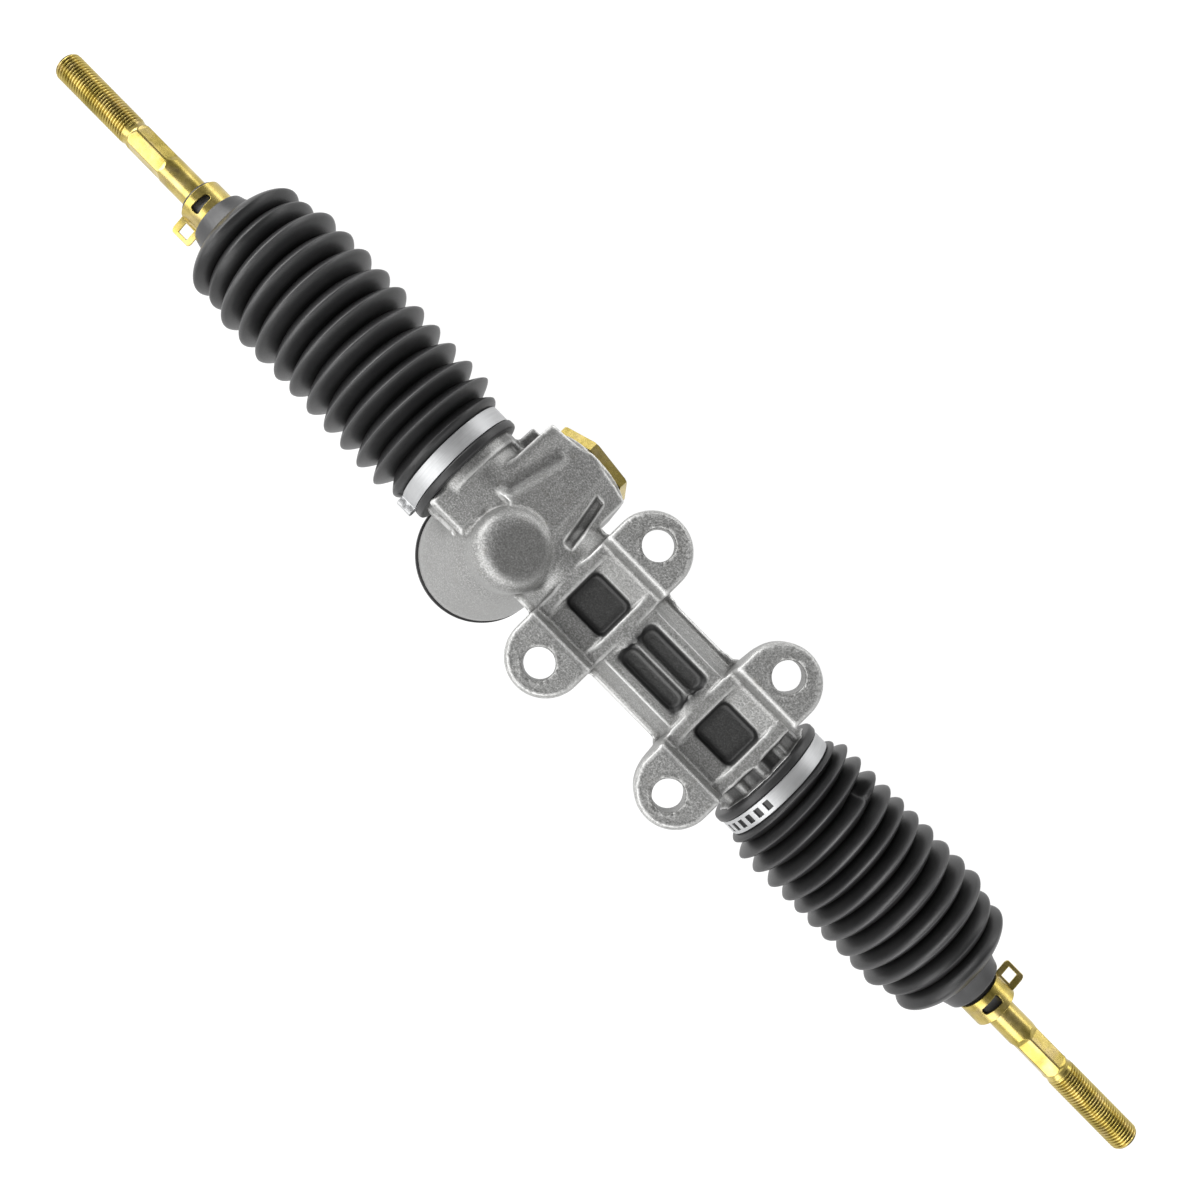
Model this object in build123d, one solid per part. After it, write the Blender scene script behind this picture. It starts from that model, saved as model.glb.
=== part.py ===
from build123d import *
from math import acos, ceil, cos, degrees, pi, radians, sin, sqrt, tan
import os

os.makedirs("parts", exist_ok=True)

# Rack and pinion steering gear for a light vehicle, in millimetres.
# The rack axis runs along X, and +X points away from the pinion. The four ears bolt up
# against the vehicle: their faces lie in the plane Z = 0, and +Z is their outward normal.
# The origin is the middle of the four bolt holes. Shapes are drawn round the rack axis
# and moved down to it when they are written.

# Mounting ears
MOUNT_HEIGHT = 28.0          # rack axis to the faces of the ears
BOLT_SPACING_X = 68.0
BOLT_SPACING_Y = 62.0
BOLT_HOLE_D = 12.5
EAR_WIDTH = 31.0
EAR_THICK = 12.0
EAR_REACH = 11.9             # bolt hole centre to the outer end of the ear
EAR_PAD_EDGE_Y = 19.2        # inner edge of the raised ear pad
PAD_STEP = 1.5               # lean of the step from ear to saddle
EAR_EDGE = 1.2               # chamfer round the ear faces

# Saddles that carry the ears over the tube
SADDLE_TOP = 20.5            # rib tops above the rack axis
SADDLE_RIB = 5.2             # width of each side rib
SADDLE_POCKET_Y = 18.5
SADDLE_POCKET_FLOOR = 15.6
GUSSET_ROOT_Y = 21.0
GUSSET_DEPTH = 10.0          # how far below the rack axis the gusset ends
GUSSET_HEAD = 3.0            # ledge under the ear before the gusset starts
SADDLE_BACK_Y = 12.0
POCKET_DRAFT = 14.0          # lean of the walls of cast pockets, in degrees
CORNER_R = 2.6               # corners of cast pockets

# Beam between the saddles
BEAM_TOP = 18.7
BEAM_TOP_Y = 27.0            # width of the flat top
BEAM_FOOT_Y = 34.6           # width where its sloping sides meet the flanges
BEAM_POCKET_END = 2.8        # saddle to the end of the pocket
BEAM_POCKET_Y = 19.6
BEAM_POCKET_FLOOR = 17.2
BEAM_SLOT_END = 1.4          # end of the pocket to the end of a slot
BEAM_SLOT_Y = 7.6
BEAM_SLOT_FLOOR = 15.4
BEAM_SLOT_RIB = 2.7          # rib left between the two slots
BEAM_PAD_LENGTH = 4.6        # small pads on the upper flange, beside each saddle
BEAM_PAD_PROUD = 0.7

# Flange along the parting line, on both sides of the tube
FLANGE_PROUD = 0.9
FLANGE_TOP = 8.0
FLANGE_BACK = -5.0

# Housing tube and its two seats for the bellows
TUBE_D = 40.5
SEAT_STEP = 1.25             # tube to seat
SEAT_LENGTH = 15.0
SHOULDER_STEP = 0.5          # left seat to the shoulder that the bellows lip rests on
SHOULDER_RING = 4.5          # length of that shoulder
COLLAR_LENGTH = 6.5          # right saddle to right seat
NUB_D = 5.4                  # cast nubs round the collar
NUB_COUNT = 12
NUB_PROUD = 1.5
NECK_PANEL_X = 17.6
NECK_PANEL_Y = 18.6
NECK_PANEL_TOP = 20.2
NECK_PANEL_EDGE = 1.4

# Rack bar
RACK_D = 22.0
RACK_BORE_CLEARANCE = 1.0
RACK_TRAVEL = 80.0           # from stop to stop
REST_OFFSET = -10.5          # the rack rests this far left of its mid travel
STOP_GAP = 0.4               # left between stop and washer at full travel

# Teeth: straight pinion teeth, and rack teeth cut on a slant to match
MODULE = 1.75
PINION_TEETH = 7
PRESSURE_ANGLE = 20.0
PROFILE_SHIFT = 0.6          # in modules, to keep the pinion from being undercut
PINION_ADDENDUM = 0.75       # in modules
DEDENDUM = 1.25              # in modules
BACKLASH = 0.12
CENTRE_DISTANCE = 13.0       # rack axis to pinion axis
SKEW = 12.5                  # pinion axis to the normal of the rack, in degrees
ROLL = 14.0                  # pinion and yoke turned round the rack axis, in degrees
MESH_TO_SADDLE = 25.1        # middle of the mesh to the left saddle
MESH_TO_SEAT = 31.4          # middle of the mesh to the shoulder of the left seat
MESH_REACH = 9.0             # teeth that run past the pinion at each end of the travel
FLANK_STEPS = 4              # spans of the curve along each pinion flank

# Pinion shaft and what carries it, along the pinion axis from the middle of the mesh
GEAR_IN = 12.0               # gear face on the input side
GEAR_OUT = 11.5              # gear face on the blind side
ROOT_SINK = 0.2              # the shaft is this much smaller than the roots of the teeth
LOWER_JOURNAL_D = 10.0
JOURNAL_CHAMFER = 0.8
BUSH_WALL = 2.0
BUSH_LENGTH = 10.0
BUSH_GAP = 0.5               # gear face to bush, and journal end to the bottom of its bore
BEARING_BORE = 15.0
BEARING_D = 32.0
BEARING_WIDTH = 9.0
BEARING_RING = 2.6           # radial height of each bearing ring
BALL_D = 4.8
BALL_COUNT = 8
SHOULDER_D = 18.5
SHOULDER_LENGTH = 4.0
CIRCLIP_THICK = 1.6
CIRCLIP_BITE = 1.0
CIRCLIP_BAND = 3.0
CIRCLIP_OPENING = 6.0
SEAL_WIDTH = 6.0
SEAL_CASE = 1.5              # wall of the seal's outer case
SEAL_FACE = 2.0              # thickness of its closed face
SEAL_LIP = 1.2               # thickness of its lip
SEAL_LIP_INSET = 1.0
SEAL_LIP_CLEARANCE = 0.15
INPUT_D = 14.5
INPUT_LENGTH = 22.0
INPUT_GAP = 2.0              # dust cover to input end
INPUT_GROOVE = 1.2           # depth of the pinch bolt groove
INPUT_GROOVE_WIDTH = 6.0
INPUT_CHAMFER = 1.0
RUN_CLEARANCE = 0.1          # between sliding and turning fits

# Pinion housing: a blind barrel that flares into a bell
BOSS_WALL = 3.0              # over the end of the needle bush
BOSS_EDGE = 7.2              # rounding of the blind end
BARREL_D = 32.8
BARREL_LENGTH = 17.0         # blind end to where the flare starts
BARREL_BLEND = 6.0
BELL_D = 53.2
BELL_RIM = 7.0
BELL_EDGE = 15.0             # rounding where the flare meets the rim
DUST_COVER_THICK = 2.6
DUST_COVER_PROUD = 0.8       # round the rim of the bell
DUST_COVER_FLOOR = 1.8
DUST_COVER_NECK = 5.0
DUST_COVER_NECK_WALL = 1.8
DUST_COVER_WAIST = 4.0       # neck to the step inside the cover
DUST_COVER_EDGE = 0.8
DUST_COVER_GRIP = 0.3        # clear of the shaft

# Yoke and its tower
TOWER_WIDTH = 40.8
TOWER_OFFSET = -0.9          # the tower's body stands this far off the yoke axis
TOWER_BACK = 19.0            # yoke axis to the back of the tower
TOWER_FACE_TOP = 16.0        # width of the flat face at the top of the tower
TOWER_FACE_FOOT = 22.6
TOWER_REACH_TOP = 18.9       # yoke axis to that face
TOWER_REACH_FOOT = 22.4
TOWER_LEFT_CUT = 2.2         # face to the corner post on its left
TOWER_RIGHT_CUT = 6.5        # depth of the chamfer on its right
TOWER_POST = 3.4             # width of the corner post
TOWER_FOOT = -2.0            # rack axis to the lower end of the tower
TOWER_TOP = 33.3
TOWER_RIM_D = 37.6
TOWER_RIM = 2.2
YOKE_D = 26.0
YOKE_CLEARANCE = 0.1
YOKE_LENGTH = 20.0
YOKE_SKIRT = 5.0             # height of the yoke's lower edge above the rack axis
YOKE_PAD_THICK = 1.5
YOKE_POCKET_D = 17.0
YOKE_POCKET = 6.0
O_RING_D = 2.4
O_RING_SQUEEZE = 0.1
O_RING_INSET = 3.0           # top of the yoke to its groove
SPRING_D = 15.0
SPRING_WIRE = 2.4
SPRING_TURNS = 2.5
SPRING_SEAT = 0.25           # end of the wire to what it presses on
PLUG_D = 28.0
PLUG_LENGTH = 9.0
PLUG_HEX = 17.0
PLUG_HEX_DEPTH = 5.0
NUT_HEX = 33.0
NUT_THICK = 3.9
NUT_CHAMFER = 0.3
NUT_TURN = 19.1              # degrees that the hexagon happens to be turned by
LUG_X = 5.6                  # ledge on the far side of the tower
LUG_TOP = 30.4
LUG_FOOT = 16.0
LUG_FACE = 4.0

# Right-hand rack bush and the travel stops
RACK_BUSH_WALL = 4.0
RACK_BUSH_LENGTH = 22.0
STOP_D = 34.0
STOP_THICK = 7.0
STOP_PROUD = 3.0

# Inner ball joints
WASHER_D = 29.0
WASHER_THICK = 1.5
WASHER_TAB = 4.0
SOCKET_D = 32.0
SOCKET_BASE = 18.0           # socket face to ball centre
SOCKET_LIP = 10.0            # ball centre to the mouth of the socket
SOCKET_GRIP = 7.2            # ball centre to the narrowest place of the mouth
SOCKET_MOUTH_ANGLE = 25.0
SOCKET_FLAT_CUT = 2.0        # depth of the wrench flats
SOCKET_FLAT_LENGTH = 9.0
STUD_D = 14.0
STUD_LENGTH = 16.0
BALL_JOINT_D = 20.0
BALL_SEAT_WALL = 1.9
BALL_SEAT_LIP = 4.0          # ball centre to the mouth of the seat
BALL_SEAT_FLOOR = 8.6        # ball centre to the opening in the seat's floor
BALL_CLEARANCE = 0.1

# Tie rods, measured from the middle of the rack bar
TIP_REACH = 293.2
THREAD_D = 12.0
THREAD_LENGTH = 37.2
THREAD_CHAMFER = 1.6
ROD_NECK_D = 11.0
ROD_D = 14.1
ROD_LEAD = 20.0              # full diameter ahead of the bellows groove
ROD_TAPER = 10.0
RUNOUT_D = 11.2
RUNOUT_LENGTH = 2.0
HEX_ACROSS = 10.6            # wrench hexagon behind the thread
HEX_LENGTH = 17.0
HEX_TAPER = 8.0              # full diameter to the hexagon
LEFT_HEX_TURN = 14.0         # degrees that one flat leans from the side of the ears to -Y
RIGHT_HEX_TURN = 23.0
GROOVE_D = 13.3

# Bellows
LIP_CLEARANCE = 0.3          # machined clear of the bell round the bellows lip
LIP_LENGTH = 3.4
LIP_RISE = 1.55              # cuff to lip
CUFF_WALL = 2.7
BELLOWS_REACH = 209.0        # rack middle to the outer face of the small collar
CREST_D = 60.2
END_CREST_D = 54.6           # the first crest and the last two
FIRST_CREST = 2.5            # cuff to the top of the first crest
LAST_CREST = 11.4            # top of the last crest to the small collar
# Where each crest lies between the first and the last, as the rubber has settled
LEFT_CRESTS = (0, 0.071, 0.152, 0.238, 0.320, 0.408, 0.497, 0.579, 0.672, 0.757, 0.846, 0.927, 1)
RIGHT_CRESTS = (0, 0.057, 0.137, 0.226, 0.312, 0.387, 0.472, 0.556, 0.649, 0.738, 0.826, 0.916, 1)
VALLEY_D = 45.0
BELLOWS_WALL = 2.4           # at the bottom of a fold
COLLAR_SMALL_D = 24.0
COLLAR_SMALL_LENGTH = 3.2
BELLOWS_NECK_D = 16.8
BELLOWS_NECK_LENGTH = 11.4
BELLOWS_NECK_GAP = 0.2

# Clamps. Angles are degrees round the rack axis, from the side of the ears towards -Y.
BAND_THICK = 0.8
LEFT_BAND_WIDTH = 7.0
RIGHT_BAND_WIDTH = 6.4
BAND_GAP = 0.3               # bellows lip to band
BUCKLE_HEIGHT = 3.5
BUCKLE_LENGTH = 6.0
LEFT_BUCKLE_ANGLE = 84.0
RIGHT_BUCKLE_ANGLE = 150.0
SLOT_COUNT = 9
SLOT_ALONG = 2.4
SLOT_ACROSS = 3.6
SLOT_PITCH = 4.9
SLOT_START_ANGLE = 17.6
CLIP_WIDTH = 9.7
CLIP_THICK = 1.0
CLIP_GAP = 0.15
WINDOW_ANGLE = 4.0
WINDOW_X = 4.0               # the window that each small clamp shows
WINDOW_LENGTH = 8.6
LOOP_LENGTH = 6.8
LOOP_STRIP = 1.7

CUT = 1.0                    # cutting shapes run past a face by this much

# What follows from the sizes above
SADDLE_END_X = BOLT_SPACING_X / 2 + EAR_WIDTH / 2
MESH_X = -SADDLE_END_X - MESH_TO_SADDLE
LEFT_SEAT_X = MESH_X - MESH_TO_SEAT
RIGHT_SEAT_X = SADDLE_END_X + COLLAR_LENGTH
LEFT_END_X = LEFT_SEAT_X - SEAT_LENGTH
RIGHT_END_X = RIGHT_SEAT_X + SEAT_LENGTH
HOUSING_LENGTH = RIGHT_END_X - LEFT_END_X
HOUSING_MID_X = (LEFT_END_X + RIGHT_END_X) / 2
SEAT_D = TUBE_D + 2 * SEAT_STEP
CUFF_D = SEAT_D + 2 * CUFF_WALL
LIP_D = CUFF_D + 2 * LIP_RISE
EAR_BACK = MOUNT_HEIGHT - EAR_THICK
PANEL_X = EAR_WIDTH - 2 * SADDLE_RIB
BEAM_LENGTH = BOLT_SPACING_X - EAR_WIDTH
FLANGE_Y = TUBE_D / 2 + FLANGE_PROUD

RACK_MID_X = HOUSING_MID_X + REST_OFFSET
RACK_BORE_D = RACK_D + 2 * RACK_BORE_CLEARANCE
RACK_REACH = HOUSING_LENGTH / 2 + STOP_PROUD + RACK_TRAVEL / 2 + STOP_GAP
SOCKET_REACH = RACK_REACH + WASHER_THICK
BALL_REACH = SOCKET_REACH + SOCKET_BASE
SOCKET_FLAT = SOCKET_D - 2 * SOCKET_FLAT_CUT

PITCH_R = MODULE * PINION_TEETH / 2
BASE_R = PITCH_R * cos(radians(PRESSURE_ANGLE))
ROOT_R = PITCH_R + (PROFILE_SHIFT - DEDENDUM) * MODULE
TIP_R = PITCH_R + (PROFILE_SHIFT + PINION_ADDENDUM) * MODULE
TOOTH_PITCH = pi * MODULE
RACK_PITCH_LINE = CENTRE_DISTANCE - PITCH_R - PROFILE_SHIFT * MODULE
RACK_TIP_LINE = RACK_PITCH_LINE + MODULE
TEETH_REACH = RACK_TRAVEL / 2 + MESH_REACH
TEETH_SPAN = RACK_D + (TEETH_REACH + abs(REST_OFFSET)) * sin(radians(SKEW))

BUSH_START = GEAR_OUT + BUSH_GAP
BUSH_END = BUSH_START + BUSH_LENGTH
BOSS_END = BUSH_END + BOSS_WALL
BEARING_IN = GEAR_IN + SHOULDER_LENGTH
BEARING_OUT = BEARING_IN + BEARING_WIDTH
BALL_TRACK_R = (BEARING_BORE + BEARING_D) / 4
CIRCLIP_OUT = BEARING_OUT + CIRCLIP_THICK
SEAL_OUT = CIRCLIP_OUT + SEAL_WIDTH
COVER_OUT = SEAL_OUT + DUST_COVER_THICK
INPUT_START = COVER_OUT + DUST_COVER_NECK + INPUT_GAP
INPUT_END = INPUT_START + INPUT_LENGTH

PAD_TOP = RACK_D / 2 + YOKE_CLEARANCE + YOKE_PAD_THICK
RIM_TOP = TOWER_TOP + TOWER_RIM
NUT_TOP = RIM_TOP + NUT_THICK
PLUG_FOOT = NUT_TOP - PLUG_LENGTH
YOKE_TOP = YOKE_SKIRT + YOKE_LENGTH

# Frames: the rolled frame has its y axis along the yoke, and the pinion frame has its
# z axis along the pinion towards the blind boss and its y axis towards the rack.
ROLLED = Location((MESH_X, 0, 0), (-ROLL, 0, 0))
PINION = ROLLED * Location((0, -CENTRE_DISTANCE, 0), (0, SKEW, 0))
YOKE = ROLLED * Location((0, 0, 0), (-90, 0, 0))
TO_MOUNT = Location((0, 0, -MOUNT_HEIGHT))


def along_x(radius, start, end):
    """A round bar along X."""
    bar = Cylinder(radius, end - start)
    return Pos((start + end) / 2, 0, 0) * Rot(0, 90, 0) * bar


def up_z(radius, start, end):
    """A round bar along Z."""
    return Pos(0, 0, (start + end) / 2) * Cylinder(radius, end - start)


def turned(points, axis=Axis.X):
    """A turned piece. The points are (along the axis, radius) pairs of a closed outline."""
    if axis == Axis.X:
        outline = Polyline(*[(a, r, 0) for a, r in points], close=True)
    else:
        outline = Polyline(*[(r, 0, a) for a, r in points], close=True)
    return revolve(make_face(outline), axis, 360)


def ring(outer, inner, start, end, axis=Axis.X):
    """A plain ring of given outer and inner radius."""
    return turned([(start, inner), (end, inner), (end, outer), (start, outer)], axis)


def block(x, y, z):
    """A block between three pairs of limits."""
    middle = Pos((x[0] + x[1]) / 2, (y[0] + y[1]) / 2, (z[0] + z[1]) / 2)
    return middle * Box(x[1] - x[0], y[1] - y[0], z[1] - z[0])


def pocket(size_x, size_y, floor, top):
    """A tool for a cast pocket: its walls lean outward from the floor up to the top."""
    lean = (top - floor) * tan(radians(POCKET_DRAFT))
    foot = RectangleRounded(size_x - 2 * lean, size_y - 2 * lean, CORNER_R)
    return extrude(Pos(0, 0, floor) * foot, top + CUT - floor, taper=-POCKET_DRAFT)


def outward(side, reach):
    """The place along X of a point at some reach from the middle of the rack bar."""
    return RACK_MID_X + side * reach


# Housing


def bracket():
    """One saddle with its two ears, round the rack axis."""
    ear_end = BOLT_SPACING_Y / 2 + EAR_REACH
    half = [
        (0, SADDLE_TOP),
        (EAR_PAD_EDGE_Y - PAD_STEP, SADDLE_TOP),
        (EAR_PAD_EDGE_Y, MOUNT_HEIGHT),
        (ear_end, MOUNT_HEIGHT),
        (ear_end, EAR_BACK),
        (EAR_PAD_EDGE_Y + EAR_REACH, EAR_BACK),
        (GUSSET_ROOT_Y + GUSSET_HEAD, EAR_BACK - 2 * GUSSET_HEAD),
        (GUSSET_ROOT_Y, -GUSSET_DEPTH),
        (SADDLE_BACK_Y, -TUBE_D / 2 + GUSSET_HEAD),
    ]
    other = [(-y, z) for y, z in reversed(half[1:])]
    side = make_face(Plane.YZ * Polyline(*half, *other, close=True))
    body = extrude(side, EAR_WIDTH / 2, both=True)
    plan = Pos(0, 0, -TUBE_D) * Rot(0, 0, 90) * SlotOverall(2 * ear_end, EAR_WIDTH)
    body &= extrude(plan, 2 * TUBE_D)
    rims = body.edges().group_by(Axis.Z)[-1]
    body = chamfer(rims, EAR_EDGE)
    panel = RectangleRounded(PANEL_X, 2 * (EAR_PAD_EDGE_Y - PAD_STEP), CORNER_R)
    return body - extrude(panel, MOUNT_HEIGHT)


def bracket_cuts():
    """The saddle pockets and the bolt holes."""
    cuts = []
    sunk = pocket(PANEL_X, SADDLE_POCKET_Y, SADDLE_POCKET_FLOOR, SADDLE_TOP)
    hole = up_z(BOLT_HOLE_D / 2, 0, MOUNT_HEIGHT + CUT)
    for x in (-BOLT_SPACING_X / 2, BOLT_SPACING_X / 2):
        cuts.append(Pos(x, 0, 0) * sunk)
        for y in (-BOLT_SPACING_Y / 2, BOLT_SPACING_Y / 2):
            cuts.append(Pos(x, y, 0) * hole)
    return cuts


def beam():
    """The flat-topped stretch between the two saddles, with its two small pads."""
    outline = Polyline(
        (-BEAM_FOOT_Y / 2, 0),
        (-BEAM_FOOT_Y / 2, FLANGE_TOP),
        (-BEAM_TOP_Y / 2, BEAM_TOP),
        (BEAM_TOP_Y / 2, BEAM_TOP),
        (BEAM_FOOT_Y / 2, FLANGE_TOP),
        (BEAM_FOOT_Y / 2, 0),
        close=True,
    )
    half = BEAM_LENGTH / 2
    body = extrude(make_face(Plane.YZ * outline), half + SADDLE_RIB / 2, both=True)
    for start in (-half, half - BEAM_PAD_LENGTH):
        body += block(
            (start, start + BEAM_PAD_LENGTH),
            (0, FLANGE_Y + BEAM_PAD_PROUD),
            (FLANGE_BACK, FLANGE_TOP),
        )
    return body


def beam_cuts():
    """The pocket in the beam, with two lengthwise slots in its floor."""
    pocket_x = BEAM_LENGTH - 2 * BEAM_POCKET_END
    cuts = [pocket(pocket_x, BEAM_POCKET_Y, BEAM_POCKET_FLOOR, BEAM_TOP)]
    offset = (BEAM_SLOT_Y + BEAM_SLOT_RIB) / 2
    for y in (-offset, offset):
        slot = pocket(pocket_x - 2 * BEAM_SLOT_END, BEAM_SLOT_Y, BEAM_SLOT_FLOOR, BEAM_POCKET_FLOOR)
        cuts.append(Pos(0, y, 0) * slot)
    return cuts


def parting_flange():
    """The flange along both sides of the tube, where the two halves of the mould met."""
    return block((LEFT_SEAT_X, SADDLE_END_X), (-FLANGE_Y, FLANGE_Y), (FLANGE_BACK, FLANGE_TOP))


def pinion_bell():
    """The outside of the pinion housing, round the pinion axis."""
    outline = FilletPolyline(
        (0, 0, BOSS_END),
        (BARREL_D / 2, 0, BOSS_END),
        (BARREL_D / 2, 0, BOSS_END - BARREL_LENGTH),
        (BELL_D / 2, 0, BELL_RIM - SEAL_OUT),
        (BELL_D / 2, 0, -SEAL_OUT),
        radius=[BOSS_EDGE, BARREL_BLEND, BELL_EDGE],
    )
    closing = Polyline((BELL_D / 2, 0, -SEAL_OUT), (0, 0, -SEAL_OUT), (0, 0, BOSS_END))
    return PINION * revolve(make_face(outline + closing), Axis.Z, 360)


def tower_section(face_width, reach, height):
    """A section across the tower: a rectangle with its front corners cut back."""
    half_x = TOWER_WIDTH / 2
    post_z = reach - TOWER_LEFT_CUT
    outline = Polyline(
        (-half_x, -TOWER_BACK),
        (half_x, -TOWER_BACK),
        (half_x, reach - TOWER_RIGHT_CUT),
        (face_width / 2, reach),
        (-face_width / 2, reach),
        (TOWER_POST - half_x, post_z),
        (-half_x, post_z),
        close=True,
    )
    place = Plane((TOWER_OFFSET, height, 0), x_dir=(1, 0, 0), z_dir=(0, -1, 0))
    return place * make_face(outline)


def yoke_tower():
    """The tower that holds the yoke, with the round rim of its mouth."""
    low = tower_section(TOWER_FACE_FOOT, TOWER_REACH_FOOT, TOWER_FOOT)
    high = tower_section(TOWER_FACE_TOP, TOWER_REACH_TOP, TOWER_TOP)
    body = loft([low, high])
    side = TOWER_OFFSET - TOWER_WIDTH / 2
    lug = block((side - LUG_X, side + LUG_X), (LUG_FOOT, LUG_TOP), (-TOWER_BACK, LUG_FACE))
    rim = YOKE * up_z(TOWER_RIM_D / 2, 0, RIM_TOP)
    return ROLLED * (body + lug) + rim


def collar_with_nubs():
    """The short collar at the right end, ringed with cast nubs."""
    start = SADDLE_END_X - SADDLE_RIB / 2
    end = RIGHT_SEAT_X
    collar = along_x(SEAT_D / 2, start, end)
    for i in range(NUB_COUNT):
        middle = (SEAT_D - NUB_D) / 2 + NUB_PROUD
        nub = Pos(0, 0, middle) * along_x(NUB_D / 2, start, end)
        collar += Rot(360 * i / NUB_COUNT, 0, 0) * nub
    return collar


def neck_panel():
    """The flat raised panel beside the bell."""
    panel = block(
        (LEFT_SEAT_X, LEFT_SEAT_X + NECK_PANEL_X),
        (-NECK_PANEL_Y, 0),
        (0, NECK_PANEL_TOP),
    )
    return chamfer(panel.edges().group_by(Axis.Z)[-1], NECK_PANEL_EDGE)


def housing():
    """The die-cast housing, with everything that is machined into it."""
    body = along_x(TUBE_D / 2, LEFT_END_X, RIGHT_END_X)
    body += along_x(SEAT_D / 2, LEFT_END_X, LEFT_SEAT_X)
    body += along_x(SEAT_D / 2 + SHOULDER_STEP, LEFT_SEAT_X, LEFT_SEAT_X + SHOULDER_RING)
    body += along_x(SEAT_D / 2, RIGHT_SEAT_X, RIGHT_END_X)
    body += parting_flange()
    body += yoke_tower()
    body += pinion_bell()
    body += beam()
    body += collar_with_nubs()
    body += neck_panel()
    for x in (-BOLT_SPACING_X / 2, BOLT_SPACING_X / 2):
        body += Pos(x, 0, 0) * bracket()
    body -= lip_relief()
    for tool in bracket_cuts() + beam_cuts() + machined_bores():
        body -= tool
    return body


def lip_relief():
    """A tool that faces the casting off round the left seat, where the bellows lip sits."""
    outer = LIP_D / 2 + LIP_CLEARANCE
    return ring(outer, SEAT_D / 2, LEFT_END_X - CUT, LEFT_SEAT_X)


def machined_bores():
    """Tools for the rack bore, the pinion bores and the yoke bore."""
    stop_depth = STOP_THICK - STOP_PROUD
    bush_start = RIGHT_END_X - stop_depth - RACK_BUSH_LENGTH
    bush_r = RACK_D / 2 + RUN_CLEARANCE + RACK_BUSH_WALL
    rack = along_x(RACK_BORE_D / 2, LEFT_END_X - CUT, RIGHT_END_X + CUT)
    rack += along_x(STOP_D / 2, LEFT_END_X - CUT, LEFT_END_X + stop_depth)
    rack += along_x(STOP_D / 2, RIGHT_END_X - stop_depth, RIGHT_END_X + CUT)
    rack += along_x(bush_r, bush_start, RIGHT_END_X)
    pinion = up_z(TIP_R + RACK_BORE_CLEARANCE, -BEARING_IN, BUSH_START)
    pinion += up_z(LOWER_JOURNAL_D / 2 + BUSH_WALL, 0, BUSH_END)
    pinion += up_z(BEARING_D / 2, -SEAL_OUT - CUT, -BEARING_IN)
    pinion += up_z(BEARING_D / 2 + CIRCLIP_BITE, -CIRCLIP_OUT, -BEARING_OUT)
    yoke = up_z(YOKE_D / 2 + RUN_CLEARANCE, 0, RIM_TOP)
    yoke += up_z(PLUG_D / 2, PLUG_FOOT - CUT, RIM_TOP + CUT)
    return [rack, PINION * pinion, YOKE * yoke]


# Rack and pinion


def tooth_gap():
    """A tool for one gap between rack teeth, drawn in the pinion frame."""
    slope = tan(radians(PRESSURE_ANGLE))
    half = TOOTH_PITCH / 4
    line = CENTRE_DISTANCE - RACK_PITCH_LINE
    mouth = MODULE + CUT
    depth = DEDENDUM * MODULE
    outline = Polyline(
        (-half - mouth * slope, line - mouth),
        (half + mouth * slope, line - mouth),
        (half - depth * slope, line + depth),
        (depth * slope - half, line + depth),
        close=True,
    )
    return extrude(make_face(outline), TEETH_SPAN, both=True)


def rack_bar():
    """The rack bar, with its slanted teeth and a hole in each end for the socket's stud."""
    bar = along_x(RACK_D / 2, outward(-1, RACK_REACH), outward(1, RACK_REACH))
    reach = TEETH_REACH * cos(radians(SKEW)) / TOOTH_PITCH
    shift = REST_OFFSET * cos(radians(SKEW)) / TOOTH_PITCH
    first = -ceil(reach - shift)
    last = ceil(reach + shift)
    tip = CENTRE_DISTANCE - RACK_TIP_LINE
    teeth = block(
        ((first - 0.5) * TOOTH_PITCH, (last + 0.5) * TOOTH_PITCH),
        (tip - RACK_D, tip),
        (-TEETH_SPAN, TEETH_SPAN),
    )
    gap = tooth_gap()
    for i in range(first, last + 1):
        teeth += Pos(i * TOOTH_PITCH, 0, 0) * gap
    bar -= PINION * teeth
    for side in (-1, 1):
        inner = outward(side, RACK_REACH - STUD_LENGTH)
        outer = outward(side, RACK_REACH)
        bar -= along_x(STUD_D / 2, min(inner, outer), max(inner, outer))
    return bar


def flank_angle(radius):
    """Half the angle that a pinion tooth fills at some radius."""
    slope = radians(PRESSURE_ANGLE)
    here = acos(BASE_R / radius)
    fill = (pi / 2 + 2 * PROFILE_SHIFT * tan(slope)) / PINION_TEETH
    fill += (tan(slope) - slope) - (tan(here) - here)
    return fill - BACKLASH / (2 * PITCH_R)


def on_circle(radius, angle):
    """A point of the pinion section, with the angle measured from the y axis."""
    return (radius * sin(angle), radius * cos(angle))


def pinion_section():
    """The toothed section of the pinion. One tooth points along +y, at the rack."""
    rise = TIP_R - BASE_R
    steps = [BASE_R + rise * (i / FLANK_STEPS) ** 1.5 for i in range(FLANK_STEPS + 1)]
    half_pitch = pi / PINION_TEETH
    foot = flank_angle(BASE_R)
    edges = []
    for tooth in range(PINION_TEETH):
        turn = 2 * half_pitch * tooth
        rising = [on_circle(r, turn - flank_angle(r)) for r in steps]
        falling = [on_circle(r, turn + flank_angle(r)) for r in reversed(steps)]
        edges.append(Line(on_circle(ROOT_R, turn - foot), rising[0]))
        edges.append(Spline(*rising))
        edges.append(ThreePointArc(rising[-1], on_circle(TIP_R, turn), falling[0]))
        edges.append(Spline(*falling))
        edges.append(Line(falling[-1], on_circle(ROOT_R, turn + foot)))
        root_start = on_circle(ROOT_R, turn + foot)
        root_middle = on_circle(ROOT_R, turn + half_pitch)
        root_end = on_circle(ROOT_R, turn + 2 * half_pitch - foot)
        edges.append(ThreePointArc(root_start, root_middle, root_end))
    return make_face(Wire(edges))


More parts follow.
